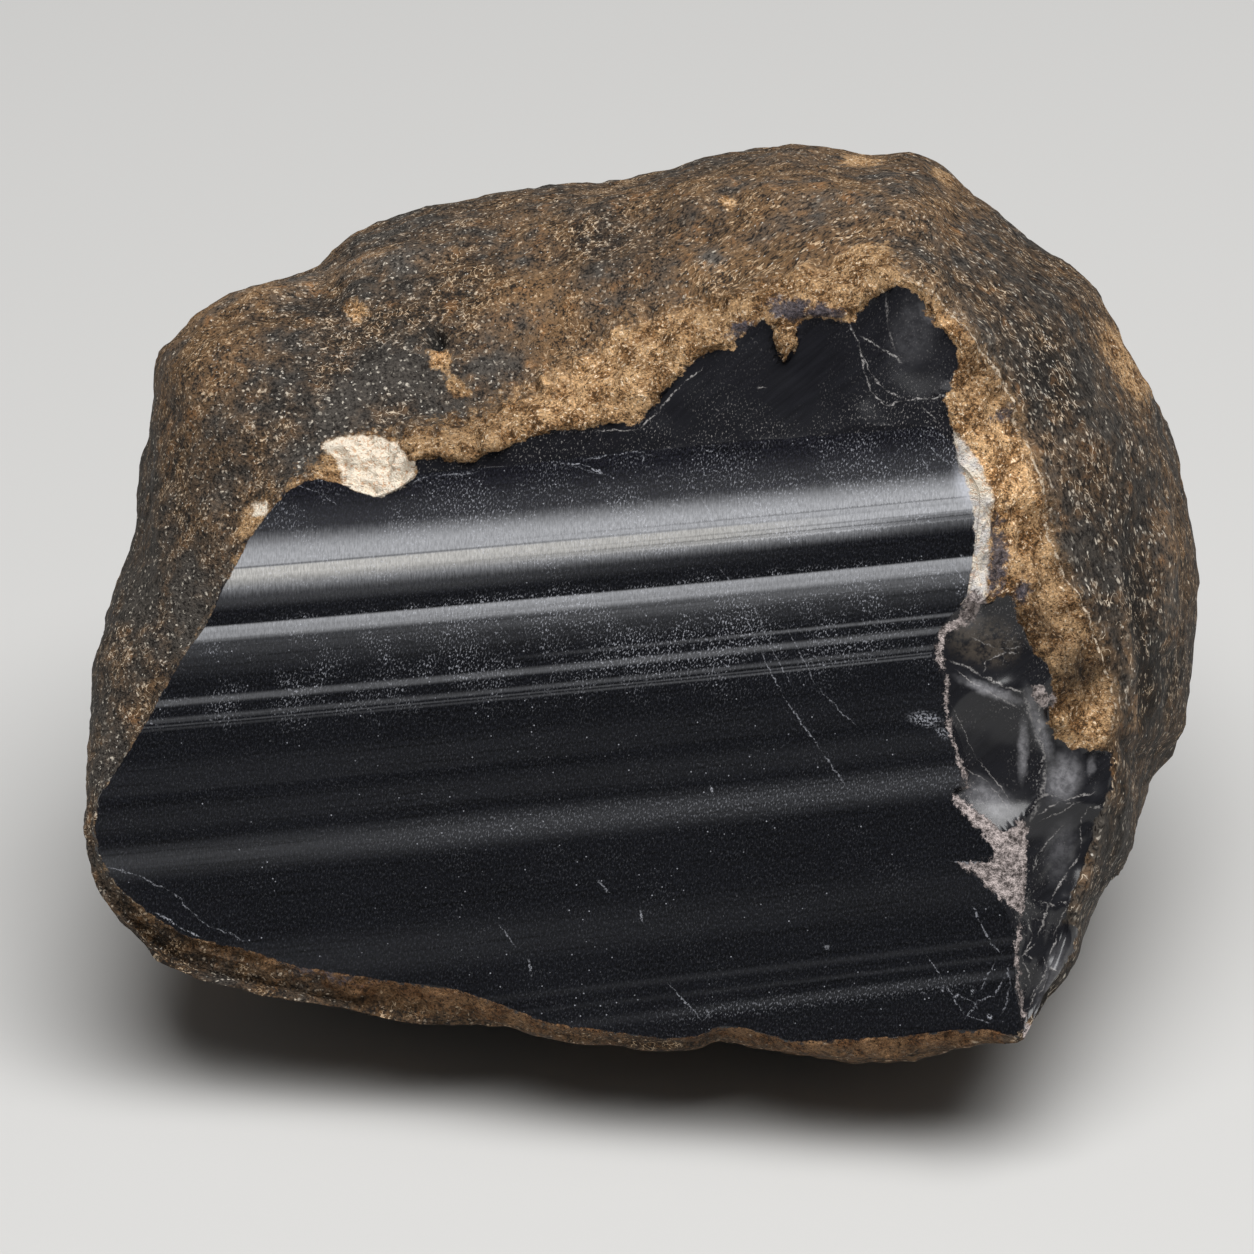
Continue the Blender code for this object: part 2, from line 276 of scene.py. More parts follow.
LOWER_GLASS = [  # glass broken open beside and below the right end of the polish
    (30, 2), (33.5, 2.2), (36.2, 2.6), (38.2, 3.3), (38.8, 2), (39.5, 0), (40.5, -2),
    (42, -3.7), (42.8, -5.5), (42.3, -7), (42.2, -9.5), (43, -11), (44.5, -12), (46, -12.3),
    (48.4, -12.3), (48.4, -16), (47.1, -19), (46.3, -22), (45.3, -25), (44.4, -27),
    (43.8, -29.5), (42.8, -33), (41.8, -36), (40.4, -38.7), (39.3, -41), (30, -38),
]
ROLLED_GLASS = [  # the same glass where it turns over the lower right edge
    (43, -29.2), (45.2, -30.2), (43.2, -34.9), (41.6, -37.8), (39.3, -41), (40, -38.5),
    (41, -36), (42, -33),
]


def near_line(line, x, y):
    """Distance in mm from a drawn line."""
    nearest = np.full(x.shape, np.inf)
    for (ax, ay), (bx, by) in zip(line, line[1:]):
        run, rise = bx - ax, by - ay
        along = np.clip(((x - ax) * run + (y - ay) * rise) / (run ** 2 + rise ** 2), 0, 1)
        away = np.hypot(x - ax - along * run, y - ay - along * rise)
        nearest = np.minimum(nearest, away)
    return nearest


def inside(outline, x, y):
    """Distance in mm from a drawn outline, positive inside it."""
    closed = outline + outline[:1]
    within = np.zeros(x.shape, bool)
    for (ax, ay), (bx, by) in zip(closed, closed[1:]):
        rise = by - ay if by != ay else 1
        within ^= ((ay > y) != (by > y)) & (x < (bx - ax) * (y - ay) / rise + ax)
    distance = near_line(closed, x, y)
    return np.where(within, distance, -distance)


print(len(HOLLOW) + len(LOWER_GLASS) + len(ROLLED_GLASS), "glass outline points")


# %% [markdown]
# ## Flake scars and swells
# A blow takes a flake off glassy stone and leaves a shallow dish with faint ripples round it.
# Each scar is a ball pressed into the drawing, and where two dishes meet they leave a sharp
# ridge, as on the real thing. The skin has broad swells and hollows instead.

# %% Scars and swells
SCARS = [  # centre x, y, depth below the cut there, radius of the ball, slope to x and y, bruised
    (11, 24, 1.6, 90, 0, 0.19, False),
    (28, 29.5, 2.4, 42, 0.06, 0.08, True),
    (35.8, -1.2, 1.6, 10, 0.25, -0.1, True), (37.2, -11.8, 2.6, 14, 0.2, -0.08, True),
    (45, -14.3, 5.2, 14, 0.5, 0.1, True), (43.4, -22, 4.6, 14, 0.55, 0, True),
    (42.8, -29.5, 3.4, 10, 0.55, 0, True), (40.6, -35.6, 1.8, 7, 0.5, -0.1, True),
]
RIPPLE_GAP, RIPPLE_HEIGHT = 1.9, 0.012  # mm between ripples, and their height
SILL_SLOPE = 0.1             # the least the glass drops away beside the cut
ABOVE, MOST_ABOVE, MOST_BESIDE = 5, 0.21, 1.6    # the most it drops, above this y and below it
SWELL_PACE = 4               # swells reach full strength 1 / pace of the way over the skin
SWELLS = [  # broad lumps and hollows of the skin: x, y, radius, height towards the eye
    (-41, 27, 8, 2.4), (-27, 33, 9, -1.2), (19, 42, 11, 1.6),
    (49, 24, 8, 1.5), (49.5, -13, 5, -2.2), (52, 4, 9, 1.2),
    (-46, 10, 9, -1), (2, 36, 10, 0.9),
]


def broken_glass(x, y, past_cut):
    """Depth of the scarred glass, and how far each place is from a bruised ridge."""
    cut = face_plane(x, y)
    layers, bruised = [cut + SILL_SLOPE * past_cut], [False]
    for centre_x, centre_y, floor_depth, ball, slope_x, slope_y, has_bruise in SCARS:
        across, up = x - centre_x, y - centre_y
        away = np.hypot(across, up)
        rise = ball - np.sqrt(np.maximum(ball ** 2 - away ** 2, 0))
        ripple = RIPPLE_HEIGHT * np.sin(2 * pi * away / RIPPLE_GAP)
        layers.append(cut + floor_depth + slope_x * across + slope_y * up - rise + ripple)
        bruised.append(has_bruise)
    order = np.argsort(layers, axis=0)
    layers = np.take_along_axis(np.array(layers), order, axis=0)
    sharp = np.array(bruised)[order[-1]] & np.array(bruised)[order[-2]]
    limit = cut + past_cut * np.where(y > ABOVE, MOST_ABOVE, MOST_BESIDE)
    return np.minimum(layers[-1], limit), np.where(sharp, layers[-1] - layers[-2], FAR)


# %% [markdown]
# ## The net of the stone
# A ball from `create_uvsphere` is a net of rings round two poles. With one pole in the middle
# of the cut and the other at the back, each ring follows an outline, so that the edge of the
# polish is a true sharp edge. The broken rim gets the closest rings, the flat polish the
# fewest, because a plane needs none.

# %% Place the points of the net
AROUND = 480
BELT_RINGS = {"polish": 12, "rim": 56, "skin": 62, "back": 70}


def noise_at(places, size, move=(0, 0, 0), octaves=0, roughness=0.8):
    """Smooth noise at each place, with bumps of a size in mm."""
    spots = [Vector(place) / size + Vector(move) for place in places]
    if octaves:
        return np.array([noise.fractal(spot, roughness, 2, octaves) for spot in spots])
    return np.array([noise.noise(spot) for spot in spots])


def belt_share(ring):
    """How far a point has come across each of the four belts, from 0 to 1."""
    shares, start = [], 0
    for count in BELT_RINGS.values():
        shares.append(np.clip((ring - start) / count, 0, 1))
        start += count
    return shares


def stone_points(turn, ring):
    """Each point's drawn x and y, its place, its belts, the rim's width and its ridge."""
    polish, rim, skin, back = shares = belt_share(ring)
    edge = [outline_radius(outline, turn) for outline in (POLISH_EDGE, SKIN_EDGE, WIDEST)]
    for inner, outer in ((0, 1), (1, 2)):
        edge[outer] = np.maximum(edge[outer], edge[inner] + LEAST_BELT)
    arc = SKIN_START + (pi / 2 - SKIN_START) * skin
    outward = (np.sin(arc) - sin(SKIN_START)) / (1 - sin(SKIN_START))
    inward = (cos(SKIN_START) - np.cos(arc)) / cos(SKIN_START)
    polish = 1 - (1 - polish) ** 2
    radius = edge[0] * polish + (edge[1] - edge[0]) * rim + (edge[2] - edge[1]) * outward
    fade = np.clip(back * GENTLE_PACE, 0, 1) ** GENTLE_POWER
    radius += (gentle_radius(WIDEST, turn) - edge[2]) * fade
    x = FACE_CENTRE[0] + radius * np.cos(turn)
    y = FACE_CENTRE[1] + radius * np.sin(turn)

    drop = round_curve(*zip(*RIM_DROP), turn)
    widest = round_curve(*zip(*WIDEST_DEPTH), turn)
    at_skin_edge = drop + face_plane(
        FACE_CENTRE[0] + edge[1] * np.cos(turn), FACE_CENTRE[1] + edge[1] * np.sin(turn))
    depth = face_plane(x, y) + drop * rim ** round_curve(*zip(*RIM_BEND), turn)
    depth = np.where(skin > 0, at_skin_edge + (widest - at_skin_edge) * inward, depth)
    flat = np.stack([x, y, 0 * x], axis=1)
    stray_x, stray_y = (
        noise_at(flat, STRAY_SIZE, move) * STRAY * (rim > 0) for move in STRAY_MOVES)
    past_cut = (edge[1] - edge[0]) * rim
    glass, crest = broken_glass(x + stray_x, y + stray_y, past_cut)
    bare = np.maximum(inside(HOLLOW, x, y), inside(LOWER_GLASS, x, y))
    beyond = np.clip(-bare / LIP_REACH, 0, 1)
    crust = np.minimum(depth, glass) - LIP * np.clip(-bare / LIP_START, 0, 1)
    crust += (depth - crust) * beyond ** 2 * (3 - 2 * beyond)
    broken = (rim > 0) & (back <= 0)
    depth = np.where(broken, np.where(bare > 0, glass, crust), depth)
    crest = np.where(broken, crest, FAR)
    swelling = np.clip(skin * SWELL_PACE, 0, 1) * (1 - back)
    for centre_x, centre_y, size, height in SWELLS:
        away = np.hypot(x - centre_x, y - centre_y)
        depth -= height * np.exp(-(away / size) ** 2) * swelling

    drawn = np.stack([x, y], axis=1)
    fullness = round_curve(*zip(*BACK_FULLNESS), turn)
    close = np.cos(back * pi / 2) ** fullness
    x = BACK_POLE[0] + (x * (1 + depth / EYE) - BACK_POLE[0]) * close
    y = BACK_POLE[1] + (y * (1 + depth / EYE) - BACK_POLE[1]) * close
    depth = depth + (BACK_POLE[2] - depth) * np.sin(back * pi / 2) ** fullness
    return drawn, np.stack([x, y, depth], axis=1), shares, edge[1] - edge[0], crest


rings = sum(BELT_RINGS.values())
net = bmesh.new()
bmesh.ops.create_uvsphere(net, u_segments=AROUND, v_segments=rings, radius=1)
ball = np.array([vertex.co for vertex in net.verts])
turn = np.arctan2(ball[:, 1], ball[:, 0]) % (2 * pi)
ring = np.round(np.arccos(np.clip(ball[:, 2], -1, 1)) / pi * rings)
drawn, points, (polish, rim, skin, back), rim_width, crest = stone_points(turn, ring)
for vertex, place in zip(net.verts, points):
    vertex.co = place
bmesh.ops.recalc_face_normals(net, faces=net.faces)
net.normal_update()
outward = np.array([vertex.normal for vertex in net.verts])
print(len(net.verts), "points,", 2 * AROUND * (rings - 1), "triangles")

# %% [markdown]
# ## Zones of the surface
# What shows at each place is drawn too: glass, tan rim, chalky patches, crushed ridges. A
# signed distance to an outline, positive inside it, is kept on the points in millimetres. The
# material adds fine noise to it and cuts it sharp, so an edge is crumbly at any size.

# %% Zone outlines
WHITE_PATCHES = [  # chalky clay left in a dent of the rim, and the bleached edge at the right
    [(-30.2, 18.2), (-27.5, 18.9), (-23.2, 18.4), (-22.8, 16.8), (-21.6, 16.3), (-21.5, 15),
     (-22.5, 13.9), (-24.6, 13), (-26.5, 13.4), (-28.1, 14.4), (-28.6, 16.8)],
    [(32.6, 19.2), (34.7, 17), (36, 13), (35.8, 8), (35.6, 4), (35.3, 1.5), (34.2, 0.2), (33, 0.8),
     (34.4, 4), (34.8, 8), (34.6, 12), (33.4, 15.5)],
    [(-37.2, 12.2), (-36.3, 12.1), (-36.4, 11.5), (-37.2, 11.5)],
]
CRUSHED = [  # powdery pinkish glass along the right end of the polish
    [(32.2, -16.6), (33.2, -17), (35.4, -18.6), (37.7, -20.6), (38.8, -20), (39.2, -19.2),
     (40.2, -19.8), (40, -21), (40, -24), (39.7, -28), (38.6, -28.2), (36.5, -26.3),
     (34.2, -24.2), (33, -23.6), (35, -23.4), (36.8, -23.6), (36.5, -21.8),
     (34.8, -19.8), (33.2, -18.2)],
    [(32, 0.3), (31.3, -0.2), (31, -1.6), (31, -3.4), (31.8, -5.3), (31.8, -8),
     (32.1, -10.5), (33.1, -13.6), (34.2, -16.3), (34.5, -16.4), (33.5, -13.6), (32.5, -10.5),
     (32.1, -8), (32.1, -5.3), (31.5, -3.4), (31.4, -1.6), (32.2, -0.4), (34, 0.4), (35.6, 2.8),
     (34.8, 3.2), (33.2, 1.2)],
    [(39.3, -28.3), (39.4, -30), (39, -32.5), (39.3, -36), (40, -39), (40, -40.6),
     (39.8, -39), (39.1, -36), (38.8, -32.5), (39.1, -30)],
    [(40.4, -5.6), (41.6, -6), (42.4, -7.3), (41.4, -8.2), (40.6, -7)],
]
TAN_PATCHES = [  # bare tan crust showing through the skin: x, y, half width, half height, turn
    (23, 36.3, 4, 1.9, 25), (-26.5, 31, 1.3, 1, 0), (-18.6, 26.6, 1.2, 1.4, 0),
    (10, 41.9, 0.9, 0.8, 0), (49.6, 26.3, 1.5, 4.6, 28), (31.8, 45.2, 1.6, 0.7, -40),
    (23.3, 46.9, 2.3, 0.6, 0), (-37.4, 11, 2.6, 1.1, 52), (-17, 23.9, 1.5, 0.9, -40),
]
VIOLET = [  # dull violet-grey crust, drawn the same way
    (16.2, 31.7, 2.4, 1.1, -8), (19.7, 31.5, 2.2, 0.8, -8), (11.4, 29.8, 1.3, 0.9, 35),
    (-31, -34.6, 3.2, 0.5, -9), (37, 6.6, 1, 4.6, -2), (38, 21.5, 1.2, 0.7, 30),
    (39.6, 3.8, 0.7, 1.3, -15),
]
THIN_RIM = 1.7               # the tan rim is this much thinner along the left end
BARE_RIM = 4.5               # and this much thinner, once and again, towards the lower right


def ramp(values, start, end):
    """0 at the start, 1 at the end, straight in between."""
    return np.clip((values - start) / (end - start), 0, 1)


def nearest_patch(patches):
    """Distance from the nearest of several drawn patches, positive inside one."""
    return np.maximum.reduce([inside(patch, x, y) for patch in patches])


def nearest_spot(spots):
    """The same for slanting ovals."""
    depths = []
    for centre_x, centre_y, half_wide, half_high, slant in spots:
        c, s = cos(radians(slant)), sin(radians(slant))
        u, v = (x - centre_x) * c + (y - centre_y) * s, (y - centre_y) * c - (x - centre_x) * s
        depths.append((1 - np.hypot(u / half_wide, v / half_high)) * min(half_wide, half_high))
    return np.maximum.reduce(depths)


front = back <= 0
x, y = drawn.T
to_polish = np.where(front, inside(POLISH_EDGE, x, y), -FAR)
to_glass = np.maximum(to_polish, nearest_patch([HOLLOW, LOWER_GLASS, ROLLED_GLASS]))
to_glass = np.where(front, to_glass, -FAR)
to_skin = np.where(front, -inside(SKIN_EDGE, x, y), FAR)
to_skin += THIN_RIM * ramp(x, -28, -31) * front
to_skin += BARE_RIM * (ramp(y, -11, -16) + ramp(y, -27, -31)) * ramp(x, 38, 40) * front
to_white, to_crushed, to_tan, to_violet = np.where(front, (
    nearest_patch(WHITE_PATCHES), nearest_patch(CRUSHED),
    nearest_spot(TAN_PATCHES), nearest_spot(VIOLET)), -FAR)
print("glass:", int((to_glass > 0).sum()), "points, skin:", int((to_skin > 0).sum()))

# %% [markdown]
# ## Broad tones of the skin
# The skin isn't one brown. It goes from ochre and rust where iron stained it to grey and
# nearly black where it is worn. A few wide soft washes are laid down, and noise adds some of
# the same to the far side.

# %% Lay the washes
WASHES = [  # x, y, radius, warmth, lightness
    (-44, 26, 7, 0.5, 0.12), (-38, 30, 4, 0.4, 0.2), (-46, 12, 7, -0.1, -0.1),
    (-9, 33, 6, 0.9, 0.45), (5, 36, 8, 0.5, 0.2), (14, 38, 6, 0.4, 0.15), (-20, 24, 5, -0.5, -0.1),
    (-27, 27, 6, -0.5, -0.1), (-3, 38, 4, -0.7, -0.3), (20, 45, 8, 0.4, 0.1),
    (33, 43, 4, 0.6, 0.3), (40, 25, 6, -0.5, -0.35), (46, 12, 7, -0.4, -0.3),
    (48, 28, 5, 0.5, 0.1), (54, 8, 5, 0.5, 0.1), (37, 15, 7, 0.1, 0.75),
    (8.3, 36.5, 1.6, -1.6, 1.3), (43, -5, 5, 0.6, -0.3), (46, -9, 3, 0.3, 0.45),
    (-5, 25, 5, 0.2, 0.3), (-17, 19, 4, 0.2, -0.15), (12, 32, 5, 0.2, -0.25),
    (-34, 22, 6, -0.2, -0.25), (-47, -2, 6, -0.3, 0.05), (-16, 36, 5, -0.2, -0.3),
    (8, 43, 6, 0, -0.2), (34, 35, 6, -0.2, -0.15), (52, -10, 6, 0.2, -0.35),
    (-46, -33, 7, 0.3, -0.6), (-30, -37, 9, 0.6, -0.42), (-14, -40, 9, 0.5, -0.38),
    (4, -42, 9, 0.4, -0.6), (20, -43, 9, 0.5, -0.35), (33, -43, 8, 0.5, -0.35),
    (-51, 0, 6, -0.3, 0.05), (-53, -14, 6, -0.3, 0.1), (-45, 4, 5, -0.2, 0.1),
    (-48, -20, 6, -0.3, 0.1), (47, -25, 6, -0.5, -0.25), (42, -37, 6, -0.8, -0.3),
    (50, 4, 5, -0.7, -0.4), (54, -4, 4, -0.3, -0.4), (43, 25, 4, -0.6, -0.25),
    (45.5, -4.5, 2.5, 0, -0.5), (41.3, 0.5, 2, 0, -0.45), (32.6, 30.5, 2, 0, 0.5),
    # the first wash on this line paints shade in the hole at (-18.8, 28.6), and the second
    # lightens the skin just below it
    (-18.8, 28.8, 0.9, -0.5, -1.2), (-18.7, 27, 0.9, 0, 0.9), (-26.4, 30.5, 0.9, 0, 0.6),
]
WASH_PACE = 4                # the washes end after 1 / pace of the way round the back
WARM_SIZE, WARM_SPREAD = 17, 3         # the noise that takes over from them: mm, and how strong
LIGHT_SIZE, LIGHT_SPREAD = 13, 0.9
STAIN_SIZE, STAIN_LEVEL = 9, 0.62      # noise above this level is a tan stain


def wash(kind):
    """Sum of one tone over all washes, fading out behind: warmth (kind 0) or lightness (1)."""
    total = np.zeros(len(x))
    for centre_x, centre_y, size, *tones in WASHES:
        total += tones[kind] * np.exp(-((x - centre_x) ** 2 + (y - centre_y) ** 2) / size ** 2)
    return total * np.clip(1 - back * WASH_PACE, 0, 1)


# the paleness of the folds is mostly painted light on the raised ones and painted shade in the
# furrows
FOLDS = [  # a drawn line, its height (below 0 for a furrow), its half width and how pale it is
    ([(-43.5, 31), (-39, 33), (-35, 33.2), (-30, 34.6), (-25, 36.2), (-18, 37.5)], 0.5, 1.2, 0.8),
    ([(-46, 31.5), (-41, 34.5), (-35, 36.5)], -0.9, 2.6, 0),
    ([(-40, 31), (-35, 30.8), (-29, 32.3)], -0.5, 1.5, -0.3),
    ([(-16, 39), (-4, 41), (8, 43), (20, 43.4), (30, 41)], 0.6, 1.6, 0.25),
    ([(-24, 30), (-12, 35), (-2, 37.5), (8, 40)], -0.5, 2.2, -0.2),
    ([(31, 34), (36.5, 28), (39.3, 22), (41.6, 15), (43.2, 9), (45.6, 3), (48, -4), (49.3, -12)],
     0.45, 0.8, 0.5),
    ([(50.5, 10), (51.8, 0), (52, -8), (50, -16), (48, -24), (46, -30)], -0.7, 1.5, -0.25),
    ([(53.4, 11), (54, 6.7), (54.5, 2.1), (54.3, -1.3)], 0.5, 0.8, 0.8),
    ([(48.4, 8), (48.8, 4.7), (49.8, -0.4), (50.2, -4.7), (50.5, -10.5)], 0.4, 0.45, 1),
    ([(50.8, -6.5), (51.2, -10.5), (51.4, -13.4)], 0.4, 0.5, 0.8),
    ([(51.5, 5), (52.3, -2), (52.6, -9)], -0.4, 0.8, -0.3),
    ([(48.2, -14), (47.3, -20), (45.5, -26), (44, -31.5), (42, -36)], 0.2, 0.8, 0),
    ([(47.2, -18), (46.7, -22), (45.5, -26), (44.9, -30)], 0, 0.8, 0.6),
    ([(56, -13), (52, -13), (49.5, -11)], -0.9, 1.4, -0.3),
    ([(29, 47), (34, 43), (40, 37.5), (46, 31)], -0.4, 2, -0.2),
]


def fold(kind):
    """Sum of the folds' heights (kind 0) or tones (kind 1); the tones are mostly painted light and
    shade.
    """
    total = np.zeros(len(x))
    for line, height, width, tone in FOLDS:
        total += (height, tone)[kind] * np.exp(-(near_line(line, x, y) / width) ** 2)
    return np.where(front, total, 0) * np.clip(to_skin, 0, 1)


# lightness carries the washes and the folds' painted light and shade
warmth, lightness = wash(0), wash(1) + fold(1)
behind = np.clip(back * WASH_PACE, 0, 1)
warmth += behind * noise_at(points, WARM_SIZE) * WARM_SPREAD
lightness += behind * noise_at(points, LIGHT_SIZE, (5, 0, 0)) * LIGHT_SPREAD
stains = noise_at(points, STAIN_SIZE, octaves=4, roughness=0.7)
to_tan = np.where(front, to_tan, (stains - STAIN_LEVEL) * STAIN_SIZE)
print("warmth", warmth.min().round(2), "to", warmth.max().round(2))

# %% [markdown]
# ## Relief of the skin and the rim
# The weathered skin rolls in long swells with finer knobs and pits on them, and the broken
# rim crumbles like coarse sugar. Both are pushed along the surface normal, and fade out
# towards the polish and on glass, which stay smooth.

# %% Push the relief into the net
SEED = Vector((3.7, 11.2, 5.9))
ROLL_SIZE, ROLL_HEIGHT = 24, 2.2      # the long swells of the natural skin, mm
KNOB_SIZE, KNOB_HEIGHT = 9, 0.7       # the shorter ones on top of them
ROLL_CENTRE = (0, 0, 35)              # swells push straight out from here
ROLL_PACE = 2                         # they reach full strength 1 / pace of the way over the skin
ROLL_FADE, LEAST_ROLL = 1.25, 0.35    # they weaken towards the widest line
BACK_ROLL, BACK_PACE = 0.65, 3        # and come back this strongly behind it
DENT_SIZE, DENT_DEPTH, DENT_LEVEL = 27, 4, 0.3
PIT_SIZE, PIT_DEPTH, PIT_LEVEL = 5, 3, 0.28
HOLES = [  # small holes in the skin: x, y, radius, depth
    (-18.8, 28.6, 0.9, 1.7), (-26.5, 30.4, 1, 0.4), (34.2, 24.6, 1.6, 0.7), (10.8, 41.6, 0.8, 0.4),
]


def grain(size, height, shift, octaves=0):
    """Noise on the stone, with bumps of a size and a height in mm; each shift is another noise."""
    return noise_at(points, size, SEED + Vector((shift, -shift, 2 * shift)), octaves) * height


away = points - ROLL_CENTRE
away /= np.linalg.norm(away, axis=1)[:, None]
weight = np.clip(skin * ROLL_PACE, 0, 1) * np.clip(ROLL_FADE - skin, LEAST_ROLL, 1)
behind = np.clip(back * BACK_PACE, 0, 1)
weight += BACK_ROLL * behind
swell = grain(ROLL_SIZE, ROLL_HEIGHT, 0) + noise_at(points, KNOB_SIZE, -SEED) * KNOB_HEIGHT
places = points + away * (swell * weight)[:, None]

skin_share = ramp(to_skin, 0, 1.5)
# crumbs fade out at the polish and on bare glass, and are small where the rim is narrow
rim_share = ramp(rim, 0, 0.125) * ramp(to_glass, 0.12, -0.48) * (1 - skin_share)
rim_share *= np.clip(rim_width / 4, 0.15, 1)
relief = skin_share * (grain(6, 0.5, 5, 4) + grain(2.2, 0.15, 1, 3)) + fold(0)
reach = [noise.voronoi(Vector(place) / DENT_SIZE + SEED)[0][0] for place in points]
dents = (np.array(reach) ** 2 - DENT_LEVEL) * DENT_DEPTH  # dishes that meet in blunt ridges
relief += behind * (dents - PIT_DEPTH * np.clip(grain(PIT_SIZE, 1, 8) - PIT_LEVEL, 0, 1))
relief += rim_share * (grain(3.2, 0.9, 3, 4) + grain(1.1, 0.5, 4))
for centre_x, centre_y, size, deep in HOLES:
    bowl = np.exp(-(((x - centre_x) ** 2 + (y - centre_y) ** 2) / size ** 2) ** 2)
    relief -= np.where(front, deep * bowl, 0)
places += outward * relief[:, None]
print("relief:", relief.min().round(2), "to", relief.max().round(2), "mm")

# %% Stand the stone on its spot
SHARP = radians(38)          # faces that meet at more than this show an edge

upright = stand_up(places)
upright[:, 2] = np.maximum(upright[:, 2], 0)
for vertex, place in zip(net.verts, upright):
    vertex.co = place
stone = bpy.data.objects.new("onyx_stone", bpy.data.meshes.new("onyx_stone"))
net.to_mesh(stone.data)
net.free()
stone.data.shade_smooth()
stone.data.set_sharp_from_angle(angle=SHARP)
bpy.context.scene.collection.objects.link(stone)
ends = np.array([edge.vertices[:] for edge in stone.data.edges])
at_edge = ring[ends] == BELT_RINGS["polish"]
sharp = np.zeros(len(ends), bool)
stone.data.attributes["sharp_edge"].data.foreach_get("value", sharp)
stone.data.attributes["sharp_edge"].data.foreach_set("value", sharp | at_edge.all(axis=1))


def keep(name, values):
    """Store a number or a vector per point for the material to read."""
    values = np.asarray(values, np.float32)
    kind, field = ("FLOAT", "value") if values.ndim == 1 else ("FLOAT_VECTOR", "vector")
    stone.data.attributes.new(name, kind, "POINT").data.foreach_set(field, values.ravel())


for name, values in {
    "to_polish": to_polish, "to_glass": to_glass, "to_skin": to_skin, "to_tan": to_tan,
    "to_violet": to_violet, "to_white": to_white, "to_crushed": to_crushed, "crest": crest,
    "warmth": warmth, "lightness": lightness, "drawn": np.stack([x, y, 0 * x], axis=1),
}.items():
    keep(name, values)

print("stone:", len(stone.data.polygons), "faces")

# %% Squeezed places, on which noise makes strokes that run round the stone
MOST_PULL = 30               # mm, the most that `flow` is squeezed towards the middle
PULL_LEFT, PULL_RIGHT = 0.1, 0.6   # share of the way to the middle, at the left and the right
spread = points[:, :2] - FACE_CENTRE
reach = np.hypot(*spread.T)
pull = PULL_LEFT + (PULL_RIGHT - PULL_LEFT) * ramp(points[:, 0], 5, 40)
pull = np.minimum(MOST_PULL, pull * reach) / np.maximum(reach, 0.01)
keep("flow", np.column_stack([spread * (1 - pull)[:, None], points[:, 2]]))
print("squeezed by up to", round(float((pull * reach).max())), "mm")

# %% [markdown]
# ## A class for material arithmetic
# Written one node at a time, a material is long and hard to read. Here a small class wraps a
# socket, so that `1 - mask` or `a * b` adds the Math node by itself. One method makes any
# other node from its type, its settings and its sockets.

# %% Material arithmetic
material = bpy.data.materials.new("banded_stone")
material.use_nodes = True
tree = material.node_tree
tree.nodes.clear()


class Strand:
    """A value on its way through the material."""

    def __init__(self, socket):
        self.socket = socket

    @classmethod
    def node(cls, kind, settings=None, sockets=None, output=0):
        """Make a shader node, give it its settings, then fill its sockets."""
        made = tree.nodes.new("ShaderNode" + kind)
        for name, value in (settings or {}).items():
            setattr(made, name, value)
        for name, value in (sockets or {}).items():
            if isinstance(value, Strand):
                tree.links.new(value.socket, made.inputs[name])
            else:
                made.inputs[name].default_value = value
        return None if output is None else cls(made.outputs[output])

    def _math(self, operation, *others):
        """A Math node on this value and others."""
        sockets = dict(enumerate((self, *others)))
        return Strand.node("Math", {"operation": operation}, sockets)

    def __add__(self, other):
        return self._math("ADD", other)

    __radd__ = __add__

    def __mul__(self, other):
        return self._math("MULTIPLY", other)

    __rmul__ = __mul__

    def __sub__(self, other):
        return self._math("SUBTRACT", other)

    def __rsub__(self, other):
        return Strand.node("Math", {"operation": "SUBTRACT"}, {0: other, 1: self})

    def __truediv__(self, other):
        return self._math("DIVIDE", other)

    def __pow__(self, other):
        return self._math("POWER", other)

    def __abs__(self):
        return self._math("ABSOLUTE")

    def most(self, other):
        """The larger of two values."""
        return self._math("MAXIMUM", other)


def kept(name, output="Fac"):
    """A value kept on the stone's points."""
    return Strand.node("Attribute", {"attribute_name": name}, output=output)


def step(value, low, high, top=1):
    """0 at low, rising smoothly to top at high."""
    sockets = {"Value": value, "From Min": low, "From Max": high, "To Max": top}
    return Strand.node("MapRange", {"interpolation_type": "SMOOTHSTEP"}, sockets)


def near(value, middle, gone, full, top=1):
    """Top where the value is within full of the middle, 0 past gone."""
    return step(abs(value - middle), gone, full, top)


def vector_math(operation, *vectors):
    """A Vector Math node."""
    return Strand.node("VectorMath", {"operation": operation}, dict(enumerate(vectors)))


def stretch(vector, factors):
    """A vector with each part multiplied."""
    return vector_math("MULTIPLY", vector, factors)


def turned(vector, slant, size):
    """A vector turned by a slant in degrees and divided by a size along each axis."""
    return Strand.node("Mapping", {"vector_type": "TEXTURE"}, {
        "Vector": vector, "Rotation": (0, 0, radians(slant)), "Scale": size})


def cloud(vector, size, detail=2, rough=0.5, twist=0):
    """Soft noise between 0 and 1, about 0.5, with blobs of a size in mm."""
    sockets = {"Vector": vector, "Scale": 1 / size, "Detail": detail, "Roughness": rough,
               "Distortion": twist}
    return Strand.node("TexNoise", {}, sockets)


def bend(vector, scale, rough, reach):
    """A vector whose parts are pushed up to a reach in mm by noise."""
    sockets = {"Vector": vector, "Scale": scale, "Detail": 2, "Roughness": rough}
    push = Strand.node("TexNoise", {}, sockets, "Color")
    return vector_math("MULTIPLY_ADD", push, reach, vector)


def cells(vector, size, output="Distance"):
    """Distance to the nearest of many scattered points, in cells of a size in mm."""
    return Strand.node("TexVoronoi", {}, {"Vector": vector, "Scale": 1 / size}, output)


def dots(vector, size, gone, full, fewest, most):
    """A round dot in some of the cells: those whose own random number is high."""
    return step(cells(vector, size), gone, full) * step(cells(vector, size, "Color"), fewest, most)


